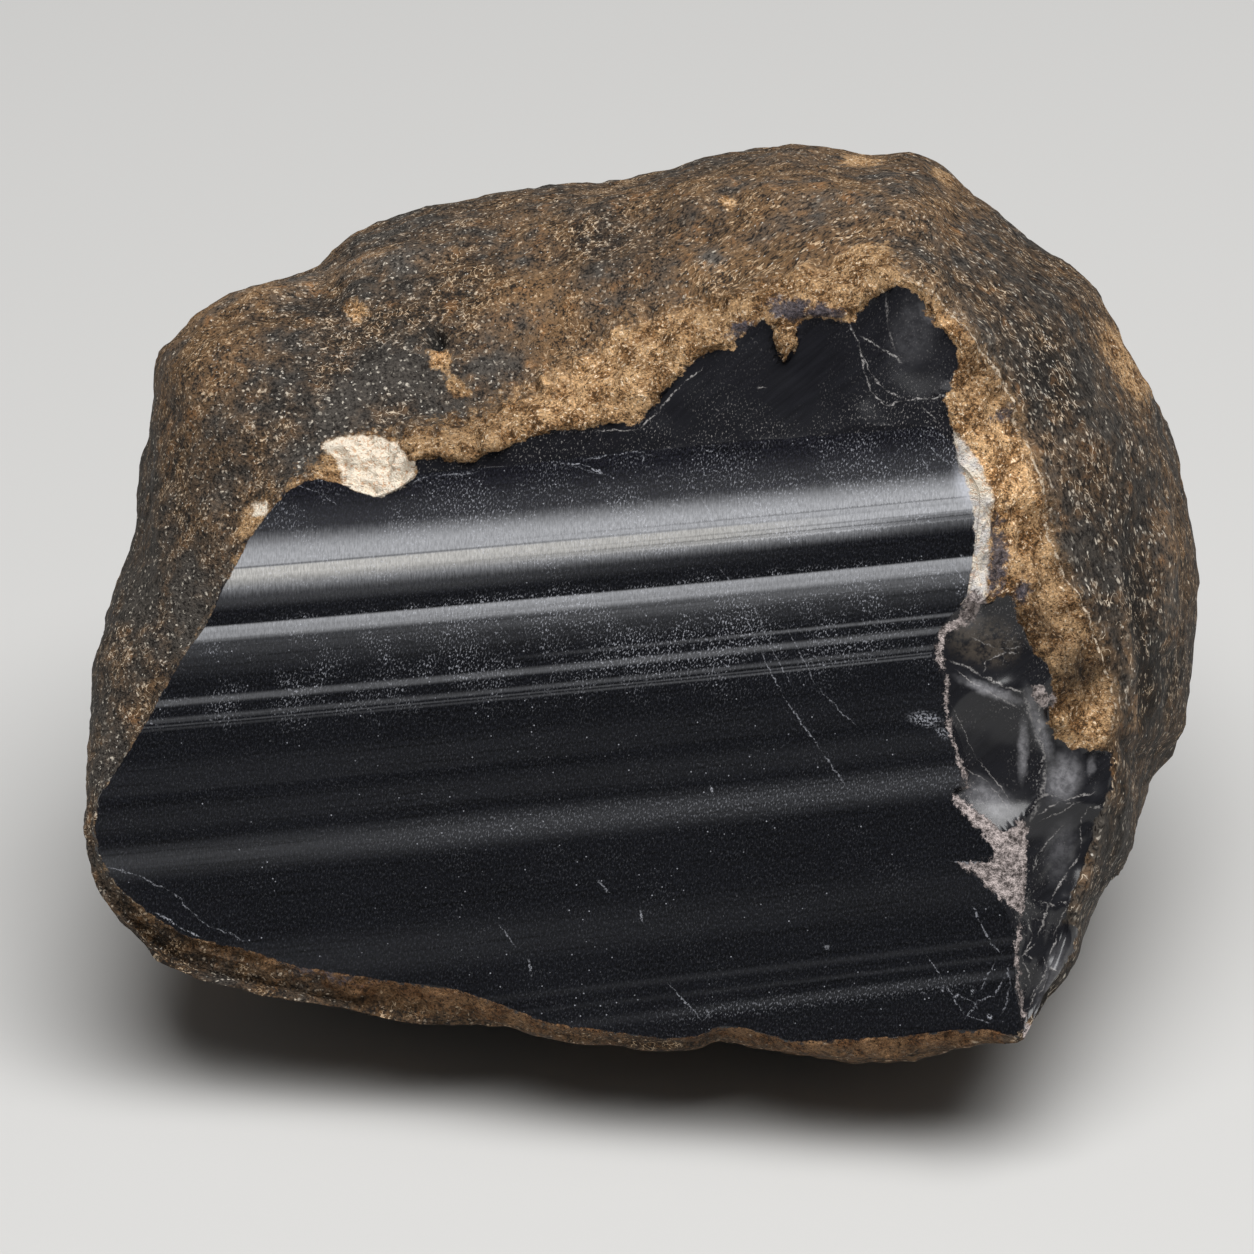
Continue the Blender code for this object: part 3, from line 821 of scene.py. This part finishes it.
def blend(mask, first, second, kind="MIX"):
    """The first colour where the mask is 0, the second where it is 1."""
    sides = [side if isinstance(side, Strand) else (*side, 1) for side in (first, second)]
    # a Mix node has an A and a B for each kind of data, so its colour sockets go by number
    sockets = {0: mask, 6: sides[0], 7: sides[1]}
    return Strand.node("Mix", {"data_type": "RGBA", "blend_type": kind}, sockets, 2)


def shade(colour, amount):
    """A colour made lighter or darker by a value."""
    sockets = dict.fromkeys(("Red", "Green", "Blue"), amount)
    return blend(1, colour, Strand.node("CombineColor", {}, sockets), "MULTIPLY")


solid = stretch(Strand.node("TexCoord", {}, {}, "Object"), (1 / MM, 1 / MM, 1 / MM))
on_cut = kept("drawn", "Vector")
flow = kept("flow", "Vector")
print("material started, patterns in millimetres")

# %% [markdown]
# ## The bands of the polished cut
# The bands were laid down flat when the stone grew, so on the cut they are parallel lines
# that bend very slightly. `height` is the distance across them. Each band has a lower and an
# upper edge, a softness for both, and a tone at its left and its right end. Their brightness
# is partly the pale bands themselves and partly the stone's silvery sheen, painted into the
# colour, so the sheen does not move with the view.

# %% Bands
BAND_RISE, BAND_BOW, BAND_SPREAD = 0.0951, 0.00013, 0.00045  # rise to the right, bend, fanning

across = Strand.node("SeparateXYZ", {}, {0: on_cut}, "X")
upward = Strand.node("SeparateXYZ", {}, {0: on_cut}, "Y")
height = upward - across * BAND_RISE - across * across * BAND_BOW
height = height / (1 - across * BAND_SPREAD)
sheen_streaks = cloud(stretch(on_cut, (5.5, 0.45, 1)), 1, 4, 0.6)
height_lines = Strand.node("CombineXYZ", {}, {"X": across * 0.035, "Y": height * 3})
threads = cloud(height_lines, 1, 3, 0.6)
to_right = step(across, -32, 30)

BANDS = [  # lower edge, its softness, upper edge, its softness, tone left, tone right
    (7.3, 1.1, 11.6, 1.35, 0.42, 0.44),      # the broad pale band
    (8.15, 0.3, 9.1, 0.1, 0.13, 0.04),       # cream strip in it
    (9.16, 0.06, 9.34, 0.08, -0.22, -0.04),  # with a dark line on top
    (9.74, 0.06, 9.9, 0.06, 0.03, -0.2),     # and finer lines towards the right
    (8.36, 0.08, 8.52, 0.08, 0.03, -0.2),
    (7.92, 0.06, 8.04, 0.06, 0, -0.22),
    (7.52, 0.06, 7.66, 0.06, 0, 0.22),
    (10.5, 4, 14.2, 2.6, 0.04, 0.048),       # haze above it
    (2.35, 0.35, 3.68, 0.12, 0.31, 0.32),    # the second band, crisp on top
    (3.2, 0.15, 3.6, 0.1, 0.05, 0.04),
    (1.1, 0.7, 2.4, 0.5, 0.03, 0.1),         # its tail
    (-0.6, 1.2, 2, 1, 0.022, 0.025),
    (5.5, 0.6, 7.4, 0.8, 0.045, 0),
    (-2.15, 0.15, -1.85, 0.15, -0.03, 0.12),
    (-3.75, 0.2, -3.15, 0.2, 0.1, 0.11),
    (-5.35, 0.15, -4.95, 0.2, 0.07, 0.06),
    (-5.75, 0.08, -5.6, 0.08, 0.06, 0.07),
    (-6.1, 0.1, -5.9, 0.1, 0.03, 0.09),
    (-12.25, 0.2, -9.4, 1, 0.008, 0.003),
    (-15.8, 0.8, -13.6, 0.8, 0.008, 0.008),
    (-19.9, 1.3, -17.6, 1.2, 0.04, 0.036),
    (-31.8, 1.2, -28, 1.6, 0.012, 0.006),
    (-36, 0.3, -35.5, 0.3, 0.01, 0.016),
    (-37.6, 0.2, -37.2, 0.2, 0.004, 0.014),
    (-39.6, 0.4, -38.7, 0.3, 0, 0.022),
]
fine_sheen_streaks = cloud(stretch(on_cut, (7, 1.1, 1)), 1, 3, 0.75)
# only the broad band's upper and lower edges fray into streaks of painted sheen
edges = near(height, 11.7, 2.4, 0.6) + near(height, 6.9, 1.6, 0.5) * 0.4
frayed = height + ((sheen_streaks - 0.5) * 1.2 + (fine_sheen_streaks - 0.5) * 1.7) * edges
# light is the bands' brightness: pale bands and painted sheen together
light = 0
for low, low_soft, high, high_soft, left, right in BANDS:
    rise = step(frayed, low - low_soft, low + low_soft)
    fall = step(frayed, high + high_soft, high - high_soft)
    light = rise * fall * (to_right * (right - left) + left) + light
# the streaks and dashes break up the painted sheen along the bands
dashes = step(cloud(stretch(on_cut, (6, 1.6, 1)), 1, 2, 0.6), 0.3, 0.7)
light = light * (0.225 + sheen_streaks * 0.3 + fine_sheen_streaks * 0.74 + dashes * 0.3)
hairlines = step(threads, 0.34, 0.5)
light = light * (1 - (1 - hairlines) * step(height, 4, 1, 0.36))
# the broad band is darker along its foot at the right end
light = light * (1 - step(across, 20, 31, 0.6) * near(height, 7.4, 1.05, 0.85))
print(len(BANDS), "bands")

# %% [markdown]
# ## Dust, scratches and chips on the polish
# A polished stone that has been handled carries pale dust, fine scratches and small chips.
# Dust is the peaks of a fine noise, thickest in slow clouds of `dusty`, with a few round dots.
# Each straight piece of a scratch is a long thin oval: a round gradient that the texture's own
# mapping moves, turns and stretches. Coarser noise makes it break up. A soft white glow by the
# bleached edge, painted sheen, is drawn the same way and takes the same pale colour.

# %% Marks on the polish
handled = step(height, -9, -3) * step(height, 26, 10)
dusty = cloud(on_cut, 7, 4, 0.72) + handled * 0.08 - near(height, 5.6, 1.8, 0.8, 0.16)
dusty = dusty + step(across, 30, 12, 0.06) * step(across, -34, -6) - 0.02
dusty = dusty + step(across, 16, 29, 0.14) * step(height, 9.5, 12.5)
# two long streaks in the lower half, the second shorter at both ends
streak = near(height, -18.6, 1.9, 0.4, 0.34) * step(across, -34, -12)
low_streak = near(height, -39.4, 1.1, 0.3, 0.4) * step(across, 0, 9)
streak = streak + low_streak * step(across, 37, 31)
specked = cloud(turned(on_cut, -14, (0.16, 0.3, 1)), 1, 2, 0.6)
dust = step(specked, 0.52, 0.72)
dust = dust * (step(dusty, 0.5, 0.72) * (handled * 0.9 + 0.09) + streak + 0.07)
dust = dust.most(step(cells(on_cut, 1), 0.095, 0.04) * step(dusty, 0.44, 0.58))
broken = cloud(on_cut, 0.25, 2, 0.7)
LINES_ON_CUT = [  # drawn line, half width, strength
    ([(11.4, 2.2), (13.2, -2), (15.4, -6.6), (19.5, -12.5), (22, -16)], 0.09, 0.6),
    ([(12.6, 2.6), (14.4, -2), (16.6, -6)], 0.08, 0.45), ([(9.3, 6), (10.6, 4)], 0.08, 0.35),
    ([(16, 0), (19, -6), (23, -10)], 0.08, 0.45), ([(7.6, 13), (8.8, 10)], 0.09, 0.5),
    ([(30.1, 18.1), (32.4, 16.1)], 0.08, 0.6), ([(29.5, 17), (30.5, 15.2)], 0.09, 0.6),
    ([(32.1, 6.7), (34.2, 4.2)], 0.08, 0.6), ([(33.2, 7.4), (34.2, 6.4)], 0.08, 0.5),
    ([(-6.7, 16.4), (-4.2, 16.2), (-1.9, 15.2)], 0.09, 0.9),
    ([(-3.1, 19.5), (-4.5, 17.8), (-4.4, 16.6)], 0.1, 0.6),
    ([(-4.2, 16.8), (-1.4, 17.3), (1.7, 17.6), (1.5, 16.3)], 0.1, 0.6),
    ([(-21.5, 14.4), (-19.8, 15.2), (-14.9, 15.4)], 0.09, 0.6),
    ([(-33, 14.2), (-30.5, 13.4), (-28.9, 12)], 0.08, 0.5),
    ([(29.9, -32.7), (31.9, -35.6), (33.7, -38.8), (36.4, -39.6)], 0.08, 0.6),
    ([(34.6, -28), (35.2, -29.4), (36.3, -31.5), (37.5, -32.7)], 0.11, 0.6),
    ([(32.3, -23.4), (36.3, -23.7)], 0.16, 0.6), ([(36.8, -33.6), (35.2, -36.4)], 0.08, 0.5),
    ([(4, -35.5), (7.5, -39.3), (9, -38)], 0.09, 0.6), ([(-13, -29.6), (-11, -32)], 0.08, 0.5),
    ([(-52, -24), (-49, -24.8), (-45.5, -26.5), (-43.5, -28.5), (-41.5, -30), (-38, -31.5)],
     0.09, 0.5),
    ([(-47.2, -28.5), (-44.8, -30), (-42.6, -31.1)], 0.12, 0.9),
    ([(-7, 16.5), (-2, 15.2)], 0.1, 0.3), ([(-10, -33.2), (-9.4, -34.8)], 0.14, 0.7),
    ([(1.3, -28.2), (1.7, -29.5)], 0.15, 0.8), ([(-3, -25.3), (-1.6, -26.8)], 0.1, 0.5),
    ([(8.3, -15.9), (8.5, -16.7)], 0.13, 0.9), ([(-34.3, -5.5), (-33.7, -5.5)], 0.18, 0.4),
    ([(19.7, -32), (20.3, -32)], 0.25, 0.5), ([(8, -38.2), (8.4, -39.2)], 0.12, 0.5),
    ([(33.8, -39.2), (35.1, -37.3), (36.8, -36.9), (37.8, -34.9)], 0.11, 0.5),
    ([(32.8, -36.9), (34.5, -37.3), (35.1, -38.2)], 0.1, 0.5),
    ([(38.1, -33.5), (38.3, -36), (37.6, -38.6)], 0.12, 0.4),
]
CHIPS = [  # x, y, half long, half wide, slant, strength
    (29.8, -9.2, 2.1, 0.9, -8, 0.75), (31.5, -10.6, 0.9, 0.6, -40, 0.6),
    (36.3, -39, 0.45, 0.28, 10, 1.2), (33, -36.9, 0.35, 0.25, 30, 1),
    (31.6, -36.2, 0.2, 0.2, 0, 0.8), (34.6, -36.4, 0.5, 0.2, 70, 0.6),
]
# a soft white glow at the right end of the bands, beside the bleached edge: partly pale stone,
# partly sheen painted in as colour
BLEACH_AND_SHEEN = [(34.2, 14.4, 2.6, 1.7, 100, 1.2), (34.4, 3, 2.2, 0.5, 75, 0.6)]  # bleached edge


def strokes_of(lines):
    """Each straight piece of the drawn lines as (x, y, half long, half wide, slant, strength)."""
    for line, half_wide, strength in lines:
        for (ax, ay), (bx, by) in zip(line, line[1:]):
            half_long, slant = hypot(bx - ax, by - ay) / 2, degrees(atan2(by - ay, bx - ax))
            yield (ax + bx) / 2, (ay + by) / 2, half_long, half_wide, slant, strength


BEND = 0.8                   # mm, how far noise pushes a stroke's points; half of it on average
bent = bend(on_cut, 1, 0.65, (BEND, BEND, 0))


def painted(strokes, inner, outer):
    """Mask of long thin ovals, slightly bent, full inside inner and gone at outer."""
    mask = None
    for mark_x, mark_y, half_long, half_wide, slant, strength in strokes:
        oval = Strand.node("TexGradient", {"gradient_type": "SPHERICAL"},
                           {"Vector": bent}, "Fac")
        placing = oval.socket.node.texture_mapping
        placing.vector_type = "TEXTURE"
        placing.translation = (mark_x + BEND / 2, mark_y + BEND / 2, 0)
        placing.rotation = (0, 0, radians(slant))
        placing.scale = (half_long * outer, half_wide * outer, 1)
        stroke = step(oval, 0, 1 - inner / outer, strength)
        mask = mask.most(stroke) if mask else stroke
    return mask


marks_and_sheen = painted(strokes_of(LINES_ON_CUT), 0.5, 1.15) * step(broken, 0.42, 0.58)
marks_and_sheen = marks_and_sheen.most(painted(CHIPS, 0.3, 1.1) * step(broken, 0.46, 0.6))
marks_and_sheen = marks_and_sheen.most(painted(BLEACH_AND_SHEEN, 0.2, 1.2) * (0.3 + broken * 1.2))
print(len(LINES_ON_CUT), "scratches and", len(CHIPS), "chips")

# %% Colour of the polish
INK, INK_BLUE = (0.0068, 0.0074, 0.01), (0.01, 0.0102, 0.015)
SILVER, CREAM, DUST_AND_SHEEN = (0.94, 0.955, 1), (1, 0.98, 0.94), (0.8, 0.82, 0.9)

depths_of_black = cloud(stretch(on_cut, (0.5, 1, 1)), 6, 3)
ink = blend(step(height, 4, 14), INK, INK_BLUE)
grit = cloud(stretch(on_cut, (1, 0.6, 1)), 0.22, 2, 0.7)
ink = shade(ink, depths_of_black * 0.5 + hairlines * 0.3 + step(grit, 0.4, 0.75) * 1.3)
creamy = step(height, 6.9, 8.2) * step(height, 9.3, 9) * step(across, 24, 8)
# pale bands and their painted sheen laid over the black, with a cream strip in the broad band
polish_colour = blend(light, ink, blend(creamy, SILVER, CREAM))
# dust, scratches, chips and the painted sheen glow all take one pale colour
polish_colour = blend((dust * 0.45).most(marks_and_sheen * 0.5), polish_colour, DUST_AND_SHEEN)
print("polish mixed")

# %% [markdown]
# ## Broken glass
# Where the blow went through, the stone is black glass, smoky in places and milky where it is
# thin; the milky grey also stands in for soft reflections on the chips, as painted reflection.
# Cracks run through it, and the ridges between two scars are bruised and pale.

# %% Colour of the glass
FIBRE_SLANT = 38             # direction of the fibres seen in the glass, degrees
GLASS_BLACK, GLASS_MILK_AND_REFLECTION = (0.0112, 0.0114, 0.014), (0.62, 0.61, 0.64)
GLASS_EARTH, GLASS_BRUISE = (0.085, 0.07, 0.056), (0.62, 0.59, 0.57)
smoke = cloud(turned(on_cut, FIBRE_SLANT, (5, 0.5, 1)), 1, 3, 0.6)
GLASS_LINES = [  # cracks and bruised ridges: drawn line, half width, strength
    ([(22.2, 30.5), (23.2, 28.2), (23.8, 25.2), (24.5, 23.4), (25.9, 22.1), (27.6, 22.6),
      (30.3, 22.9), (32, 23.2)], 0.12, 0.5),
    ([(23.4, 27.5), (24.3, 25.4), (25.7, 23.8), (27.4, 22.9)], 0.1, 0.45),
    ([(23.4, 29.2), (25.5, 27.8), (27.6, 26.5)], 0.13, 0.6),
    ([(25.9, 33.2), (26.1, 30.1), (26.8, 27.5)], 0.16, 0.22),
    ([(29.5, 21.9), (31, 20.8)], 0.1, 0.4),
    ([(32.2, -3.3), (35.5, -4.8), (37.8, -6), (39.7, -6.6)], 0.15, 0.5),
    ([(36, -3.3), (38.1, -2.5), (39, -2.6)], 0.1, 0.5), ([(35.6, -4.6), (36, -3.3)], 0.1, 0.4),
    ([(39.7, -6.6), (40.6, -10), (42, -13.5), (41.3, -17.5), (40.2, -19.6)], 0.26, 0.3),
    ([(-3.4, 19.6), (1.2, 19.8), (3, 21.4), (5.6, 24.4), (7.6, 26)], 0.1, 0.5),
    ([(41, -18.9), (43.4, -17.4), (46.9, -16.5)], 0.1, 0.5),
    ([(41.2, -19.5), (45.7, -17.3)], 0.08, 0.4),
    ([(43.7, -19.8), (41, -22.7), (40.7, -24.5)], 0.1, 0.4),
    ([(46, -18), (45.3, -19.8), (45.4, -22.3)], 0.09, 0.35),
    ([(45.4, -22.7), (44.3, -24.2), (42.2, -27.4), (41, -30.9)], 0.12, 0.5),
    ([(33.6, -14), (36.2, -15.5), (38.4, -18.5)], 0.07, 0.3),
    ([(32.4, -7.7), (34.9, -13), (38.5, -17.5)], 0.07, 0.35),
    ([(40.6, -31.6), (39.4, -33), (40.4, -35.6)], 0.1, 0.5), ([(13, 23.8), (14, 24)], 0.12, 0.4),
    ([(32.8, -4.2), (35.6, -6.2), (39.6, -8.4)], 0.1, 0.4),
    ([(34.2, -1), (37, -2.2), (39.8, -2)], 0.09, 0.35),
    ([(39.9, -29.3), (40.4, -30.9), (39.6, -32.6), (40.4, -33.3)], 0.09, 0.5),
    ([(41.4, -32.9), (41.9, -33.9), (40.4, -37.3)], 0.08, 0.45),
    ([(43.1, -30.6), (42.1, -33.3), (41.4, -35.6), (40.1, -38.2)], 0.08, 0.45),
    ([(42.6, -31), (44.2, -27.4), (46.4, -23)], 0.1, 0.4),
    ([(41.2, -37), (42.6, -33.6)], 0.1, 0.45),
]
# milky grey places: partly thin glass, partly painted reflection on the chips
MILK_AND_REFLECTION = [  # thin glass that looks milky: x, y, half long, half wide, slant, strength
    (39.6, -12.2, 3.3, 0.6, 88, 0.26), (36.2, -17.2, 3.6, 1.7, -38, 0.2),
    (36.4, -6.4, 3.8, 0.7, -22, 0.3), (43.6, -15.2, 2.8, 2, 70, 0.28),
    (41.2, -9.8, 4.2, 0.9, -72, 0.24), (43.4, -22.4, 3.6, 1.6, 80, 0.09),
    (46.4, -13.8, 1.3, 0.5, 80, 0.15),
    (28.6, 29.6, 4.4, 2.6, 75, 0.05), (29.9, 31.4, 1.6, 0.8, -60, 0.1),
    (42.6, -35, 4, 1.5, 70, 0.12), (34.6, 0.6, 1.6, 1.2, 40, 0.14),
]
EARTHY = [(35.6, -1.3, 4.4, 3, -16, 1)]  # one chip is stained brown

glass_colour = shade(GLASS_BLACK, 0.4 + smoke * 1.2)
bruise_noise = cloud(solid, 0.45, 2, 0.7)
crags = cloud(on_cut, 1.1, 3, 0.75, 0.2)
bruise = step(kept("crest") + (bruise_noise - 0.5) * 0.9, 0.12, 0) * 0.3
cracks = painted(strokes_of(GLASS_LINES), 0.35, 1.15) * step(broken, 0.38, 0.6)
glass_dust = step(specked, 0.56, 0.76) * step(dusty, 0.46, 0.66)
glass_dust = glass_dust * (0.12 + step(height, 25, 17, 0.36))
milk_and_reflection = painted(MILK_AND_REFLECTION, 0.2, 1.25) * (0.3 + bruise_noise * 0.5 + step(crags, 0.32, 0.68) * 0.8)
glass_colour = blend(milk_and_reflection, glass_colour, GLASS_MILK_AND_REFLECTION)
earthy = painted(EARTHY, 0.4, 1.1) * step(crags, 0.36, 0.6)
glass_colour = blend(earthy * 0.8, glass_colour, GLASS_EARTH)
glass_colour = blend(bruise.most(cracks).most(glass_dust), glass_colour, GLASS_BRUISE)
print(len(GLASS_LINES), "cracks and", len(MILK_AND_REFLECTION), "milky places")

# %% [markdown]
# ## Tan rim, chalk and crushed glass
# The crust under the skin looks like coarse brown sugar: tan grains with dark gaps, redder in
# places. The palest grains sit on the peaks of the grain relief and are painted highlights; the
# dark gaps sit in its lows and are painted shade. Chalk is the same with paler grains, and
# crushed glass is grey-pink powder.

# %% Colours of the rim
TAN_DARK, TAN_PALE, TAN_GRAIN_HIGHLIGHT = (0.24, 0.12, 0.043), (0.57, 0.355, 0.178), (1, 0.8, 0.57)
TAN_RUST, TAN_GAP_SHADE = (0.29, 0.11, 0.04), (0.045, 0.024, 0.01)
CHALK_DARK, CHALK_PALE, CHALK_GLASS = (0.8, 0.52, 0.33), (1, 0.89, 0.73), (0.58, 0.57, 0.58)
CRUSHED_DARK, CRUSHED_PALE = (0.07, 0.057, 0.054), (0.67, 0.575, 0.55)

sugar = cloud(solid, 0.42, 3, 0.75)
clump = cloud(solid, 2.4, 4, 0.7, 0.5)
# dark gaps where the grain noise is lowest: painted shade between the grains
gap_shade = step(sugar * 0.7 + clump * 0.3, 0.48, 0.415)
# the foot of the stone is rustier, and its painted grain highlights and glints are fainter there
above_foot = 0.3 + step(upward, -36, -27, 0.7)      # the foot of the stone is rustier and duller
tan_colour = blend(step(clump, 0.38, 0.62), TAN_DARK, TAN_PALE)
# the palest grains, on the peaks of the grain relief, are painted highlights
tan_colour = blend(step(sugar, 0.55, 0.69) * above_foot, tan_colour, TAN_GRAIN_HIGHLIGHT)
tan_colour = blend((1 - above_foot) * 0.55, tan_colour, TAN_RUST)
tan_colour = shade(tan_colour, 0.95 + (cloud(solid, 0.28, 2, 0.8) - 0.5) * 2.4)
specks = dots(solid, 0.55, 0.27, 0.12, 0.3, 0.5)
tan_colour = blend(gap_shade.most(specks) * 0.88, tan_colour, TAN_GAP_SHADE)
tan_colour = shade(tan_colour, (1 + kept("lightness") * 1.1).most(0.15))
chalk_colour = blend(step(sugar, 0.36, 0.5), CHALK_DARK, CHALK_PALE)
glassy = step(across, 20, 30) * step(clump, 0.36, 0.6) * near(upward, 14.3, 0.6, 2)
chalk_colour = blend(glassy * 0.8, chalk_colour, CHALK_GLASS)
powder = sugar * 0.6 + cloud(solid, 0.9, 3, 0.6) * 0.4
crushed_colour = blend(step(powder, 0.38, 0.62), CRUSHED_DARK, CRUSHED_PALE)
print("rim mixed")

# %% [markdown]
# ## Weathered skin
# Close up the skin is a dense weave of short pale strokes and dark pits on brown and grey; the
# dark pits are painted shade on the lows of its relief, and small glints painted highlights.
# The strokes run round the stone, so their noise is read on `flow`, which is squeezed in that
# direction. Larger clouds turn the brown warm or grey.

# %% Colour of the skin
SKIN_COOL, SKIN_WARM, SKIN_RUST = (0.046, 0.04, 0.034), (0.13, 0.074, 0.034), (0.2, 0.096, 0.036)
FLECK_COOL, FLECK_WARM = (0.8, 0.73, 0.62), (0.72, 0.53, 0.34)
PIT_SHADE, GLINT = (0.012, 0.009, 0.007), (0.85, 0.8, 0.72)

patches = cloud(solid, 7, 3, 0.65)
mottle = cloud(solid, 1.6, 3, 0.7)
weave = cloud(flow, 0.3, 2, 0.7, 0.3)
strewn = bend(flow, 2.2, 0.5, (0.7, 0.7, 0.7))
warm = step(kept("warmth") + (patches - 0.5) * 5 + (mottle - 0.5) * 2, -0.9, 1.2)
skin_colour = blend(warm, SKIN_COOL, SKIN_WARM)
light_skin = 1 + kept("lightness") + (mottle - 0.5) * 1.8 - (patches - 0.5) * 1.6
light_skin = light_skin + (weave - 0.5) * (3.4 - step(across, 30, 44))
rusty = step(clump, 0.53, 0.68) * step(warm, 0.05, 0.6, 0.5)
skin_colour = blend(rusty, skin_colour, SKIN_RUST)
skin_colour = shade(skin_colour, light_skin.most(0.2))
leftmost = step(across, -14, -44, 0.28)
flecks = dots(strewn, 0.42, 0.46, 0.18, 0.42, 0.95)
flecks = flecks * step(mottle * 1.2 + patches * 0.8 + leftmost, 0.6, 1.04)
# thin winding lines lie where a smooth noise crosses its middle
worms = near(cloud(flow, 0.7, 1, 0.5, 0.4), 0.5, 0.022, 0.006)
worms = worms * step(mottle + patches, 1.02, 1.16)
skin_colour = blend(flecks.most(worms) * 0.8, skin_colour, blend(warm, FLECK_COOL, FLECK_WARM))
# dark pits on the lows of the skin's relief: painted shade
pit_shade = step(weave + (mottle - 0.5) * 0.5, 0.45, 0.36)
skin_colour = blend(pit_shade * 0.85, skin_colour, PIT_SHADE)
# glints: small bright dots of reflected light painted into the skin colour, fainter at the foot
glint = dots(flow, 0.5, 0.18, 0.05, 0.5, 0.7)
skin_colour = blend(glint * above_foot * 0.8, skin_colour, GLINT)
print("skin mixed")

# %% [markdown]
# ## Put the zones together
# Each zone's signed distance gets noise added and is cut with a narrow step. Colour, gloss
# and fine relief all use the same masks, so they agree.

# %% Zones
VIOLET_CRUST, CREST = (0.06, 0.056, 0.07), (0.8, 0.66, 0.5)

crumble = (cloud(solid, 1.1, 3, 0.65) - 0.5) * 2
is_polish = step(kept("to_polish") + crumble * 0.25, -0.05, 0.08)
is_glass = step(kept("to_glass") + crumble * 0.9, -0.1, 0.15)
fine_crumble = (cloud(solid, 0.4, 2, 0.7) - 0.5) * 2
ragged = crumble * 2.4 + fine_crumble * 1.2 + (patches - 0.5) * 3
ragged = ragged * (1 - step(across, 28, 34, 0.55))
is_skin = step(kept("to_skin") + ragged, -1.1, 0.9)
is_skin = is_skin * step(kept("to_tan") + crumble * 0.9, 0.35, -0.15)
white_edge = kept("to_white") + crumble * 0.6 + fine_crumble * 0.3
is_white = step(white_edge, -0.1, 0.25)
crushed_edge = kept("to_crushed") + crumble * 0.6 + fine_crumble * 0.5
is_crushed = step(crushed_edge, -0.15, 0.12)
is_violet = step(kept("to_violet") + crumble * 1.3 + fine_crumble * 0.6, -0.3, 0.5)
# a pale line along the crest where the rim meets the skin, at the right only
crest_line = near(kept("to_skin") + crumble * 0.4, -0.2, 0.17, 0.05) * step(across, 27, 30)
crest_line = crest_line * step(upward, -15, -3)
crest_line = crest_line * step(fine_crumble + crumble * 0.6, -0.15, 0.15)

grainy = is_white.most(is_crushed)
smooth = is_glass.most(is_polish) * (1 - grainy)
crust_colour = blend(is_violet * 0.9, tan_colour, shade(VIOLET_CRUST, sugar ** 2 * 4.5))
crust_colour = blend(crest_line * 0.8, crust_colour, CREST)
skin_colour = blend(crest_line * 0.8, skin_colour, CREST)
white_share, crushed_share = step(white_edge, -0.6, -0.1), step(crushed_edge, -0.7, -0.3)
crust_colour = blend(white_share, crust_colour, chalk_colour)
crust_colour = blend(crushed_share, crust_colour, crushed_colour)
on_skin = is_skin * (1 - white_share) * (1 - crushed_share)
print("zones cut")


# %% Four finishes, mixed by zone
COAT_ROUGHNESS = 0.22


def finish(colour, roughness, coat, normal=None, specular=0.25):
    """A surface with one gloss."""
    sockets = {"Base Color": colour, "Roughness": roughness, "Coat Weight": coat,
               "Coat Roughness": COAT_ROUGHNESS, "Specular IOR Level": specular}
    if normal:
        sockets["Normal"] = normal
    return Strand.node("BsdfPrincipled", {}, sockets)


def dented(heights, depth_mm):
    """Fine relief from a height between 0 and about 1."""
    return Strand.node("Bump", {}, {"Height": heights, "Distance": depth_mm * MM})


def mixed(mask, first, second):
    """The first finish where the mask is 0, the second where it is 1."""
    return Strand.node("MixShader", {}, {0: mask, 1: first, 2: second})


rim_finish = finish(crust_colour, 0.72, 0, dented(sugar * 1.3, 0.5))
skin_finish = finish(skin_colour, 0.72, 0, dented(weave * 0.6 + mottle * 0.4, 0.5))
glass_coat = 0.85 - step(upward, 4, 12, 0.65)      # the hollow above the cut is duller
glass_finish = finish(glass_colour, 0.3, glass_coat, dented(crags, 0.05), 0)
polish_finish = finish(polish_colour, 0.32, 0.11, None, 0.17)
bare_finish = mixed(is_polish, glass_finish, polish_finish)
whole = mixed(smooth, mixed(on_skin, rim_finish, skin_finish), bare_finish)
Strand.node("OutputMaterial", {}, {"Surface": whole}, None)
stone.data.materials.append(material)
print(len(tree.nodes), "nodes")

# %% Hand over
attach(stone, "root")
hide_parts("onyx_nodule")
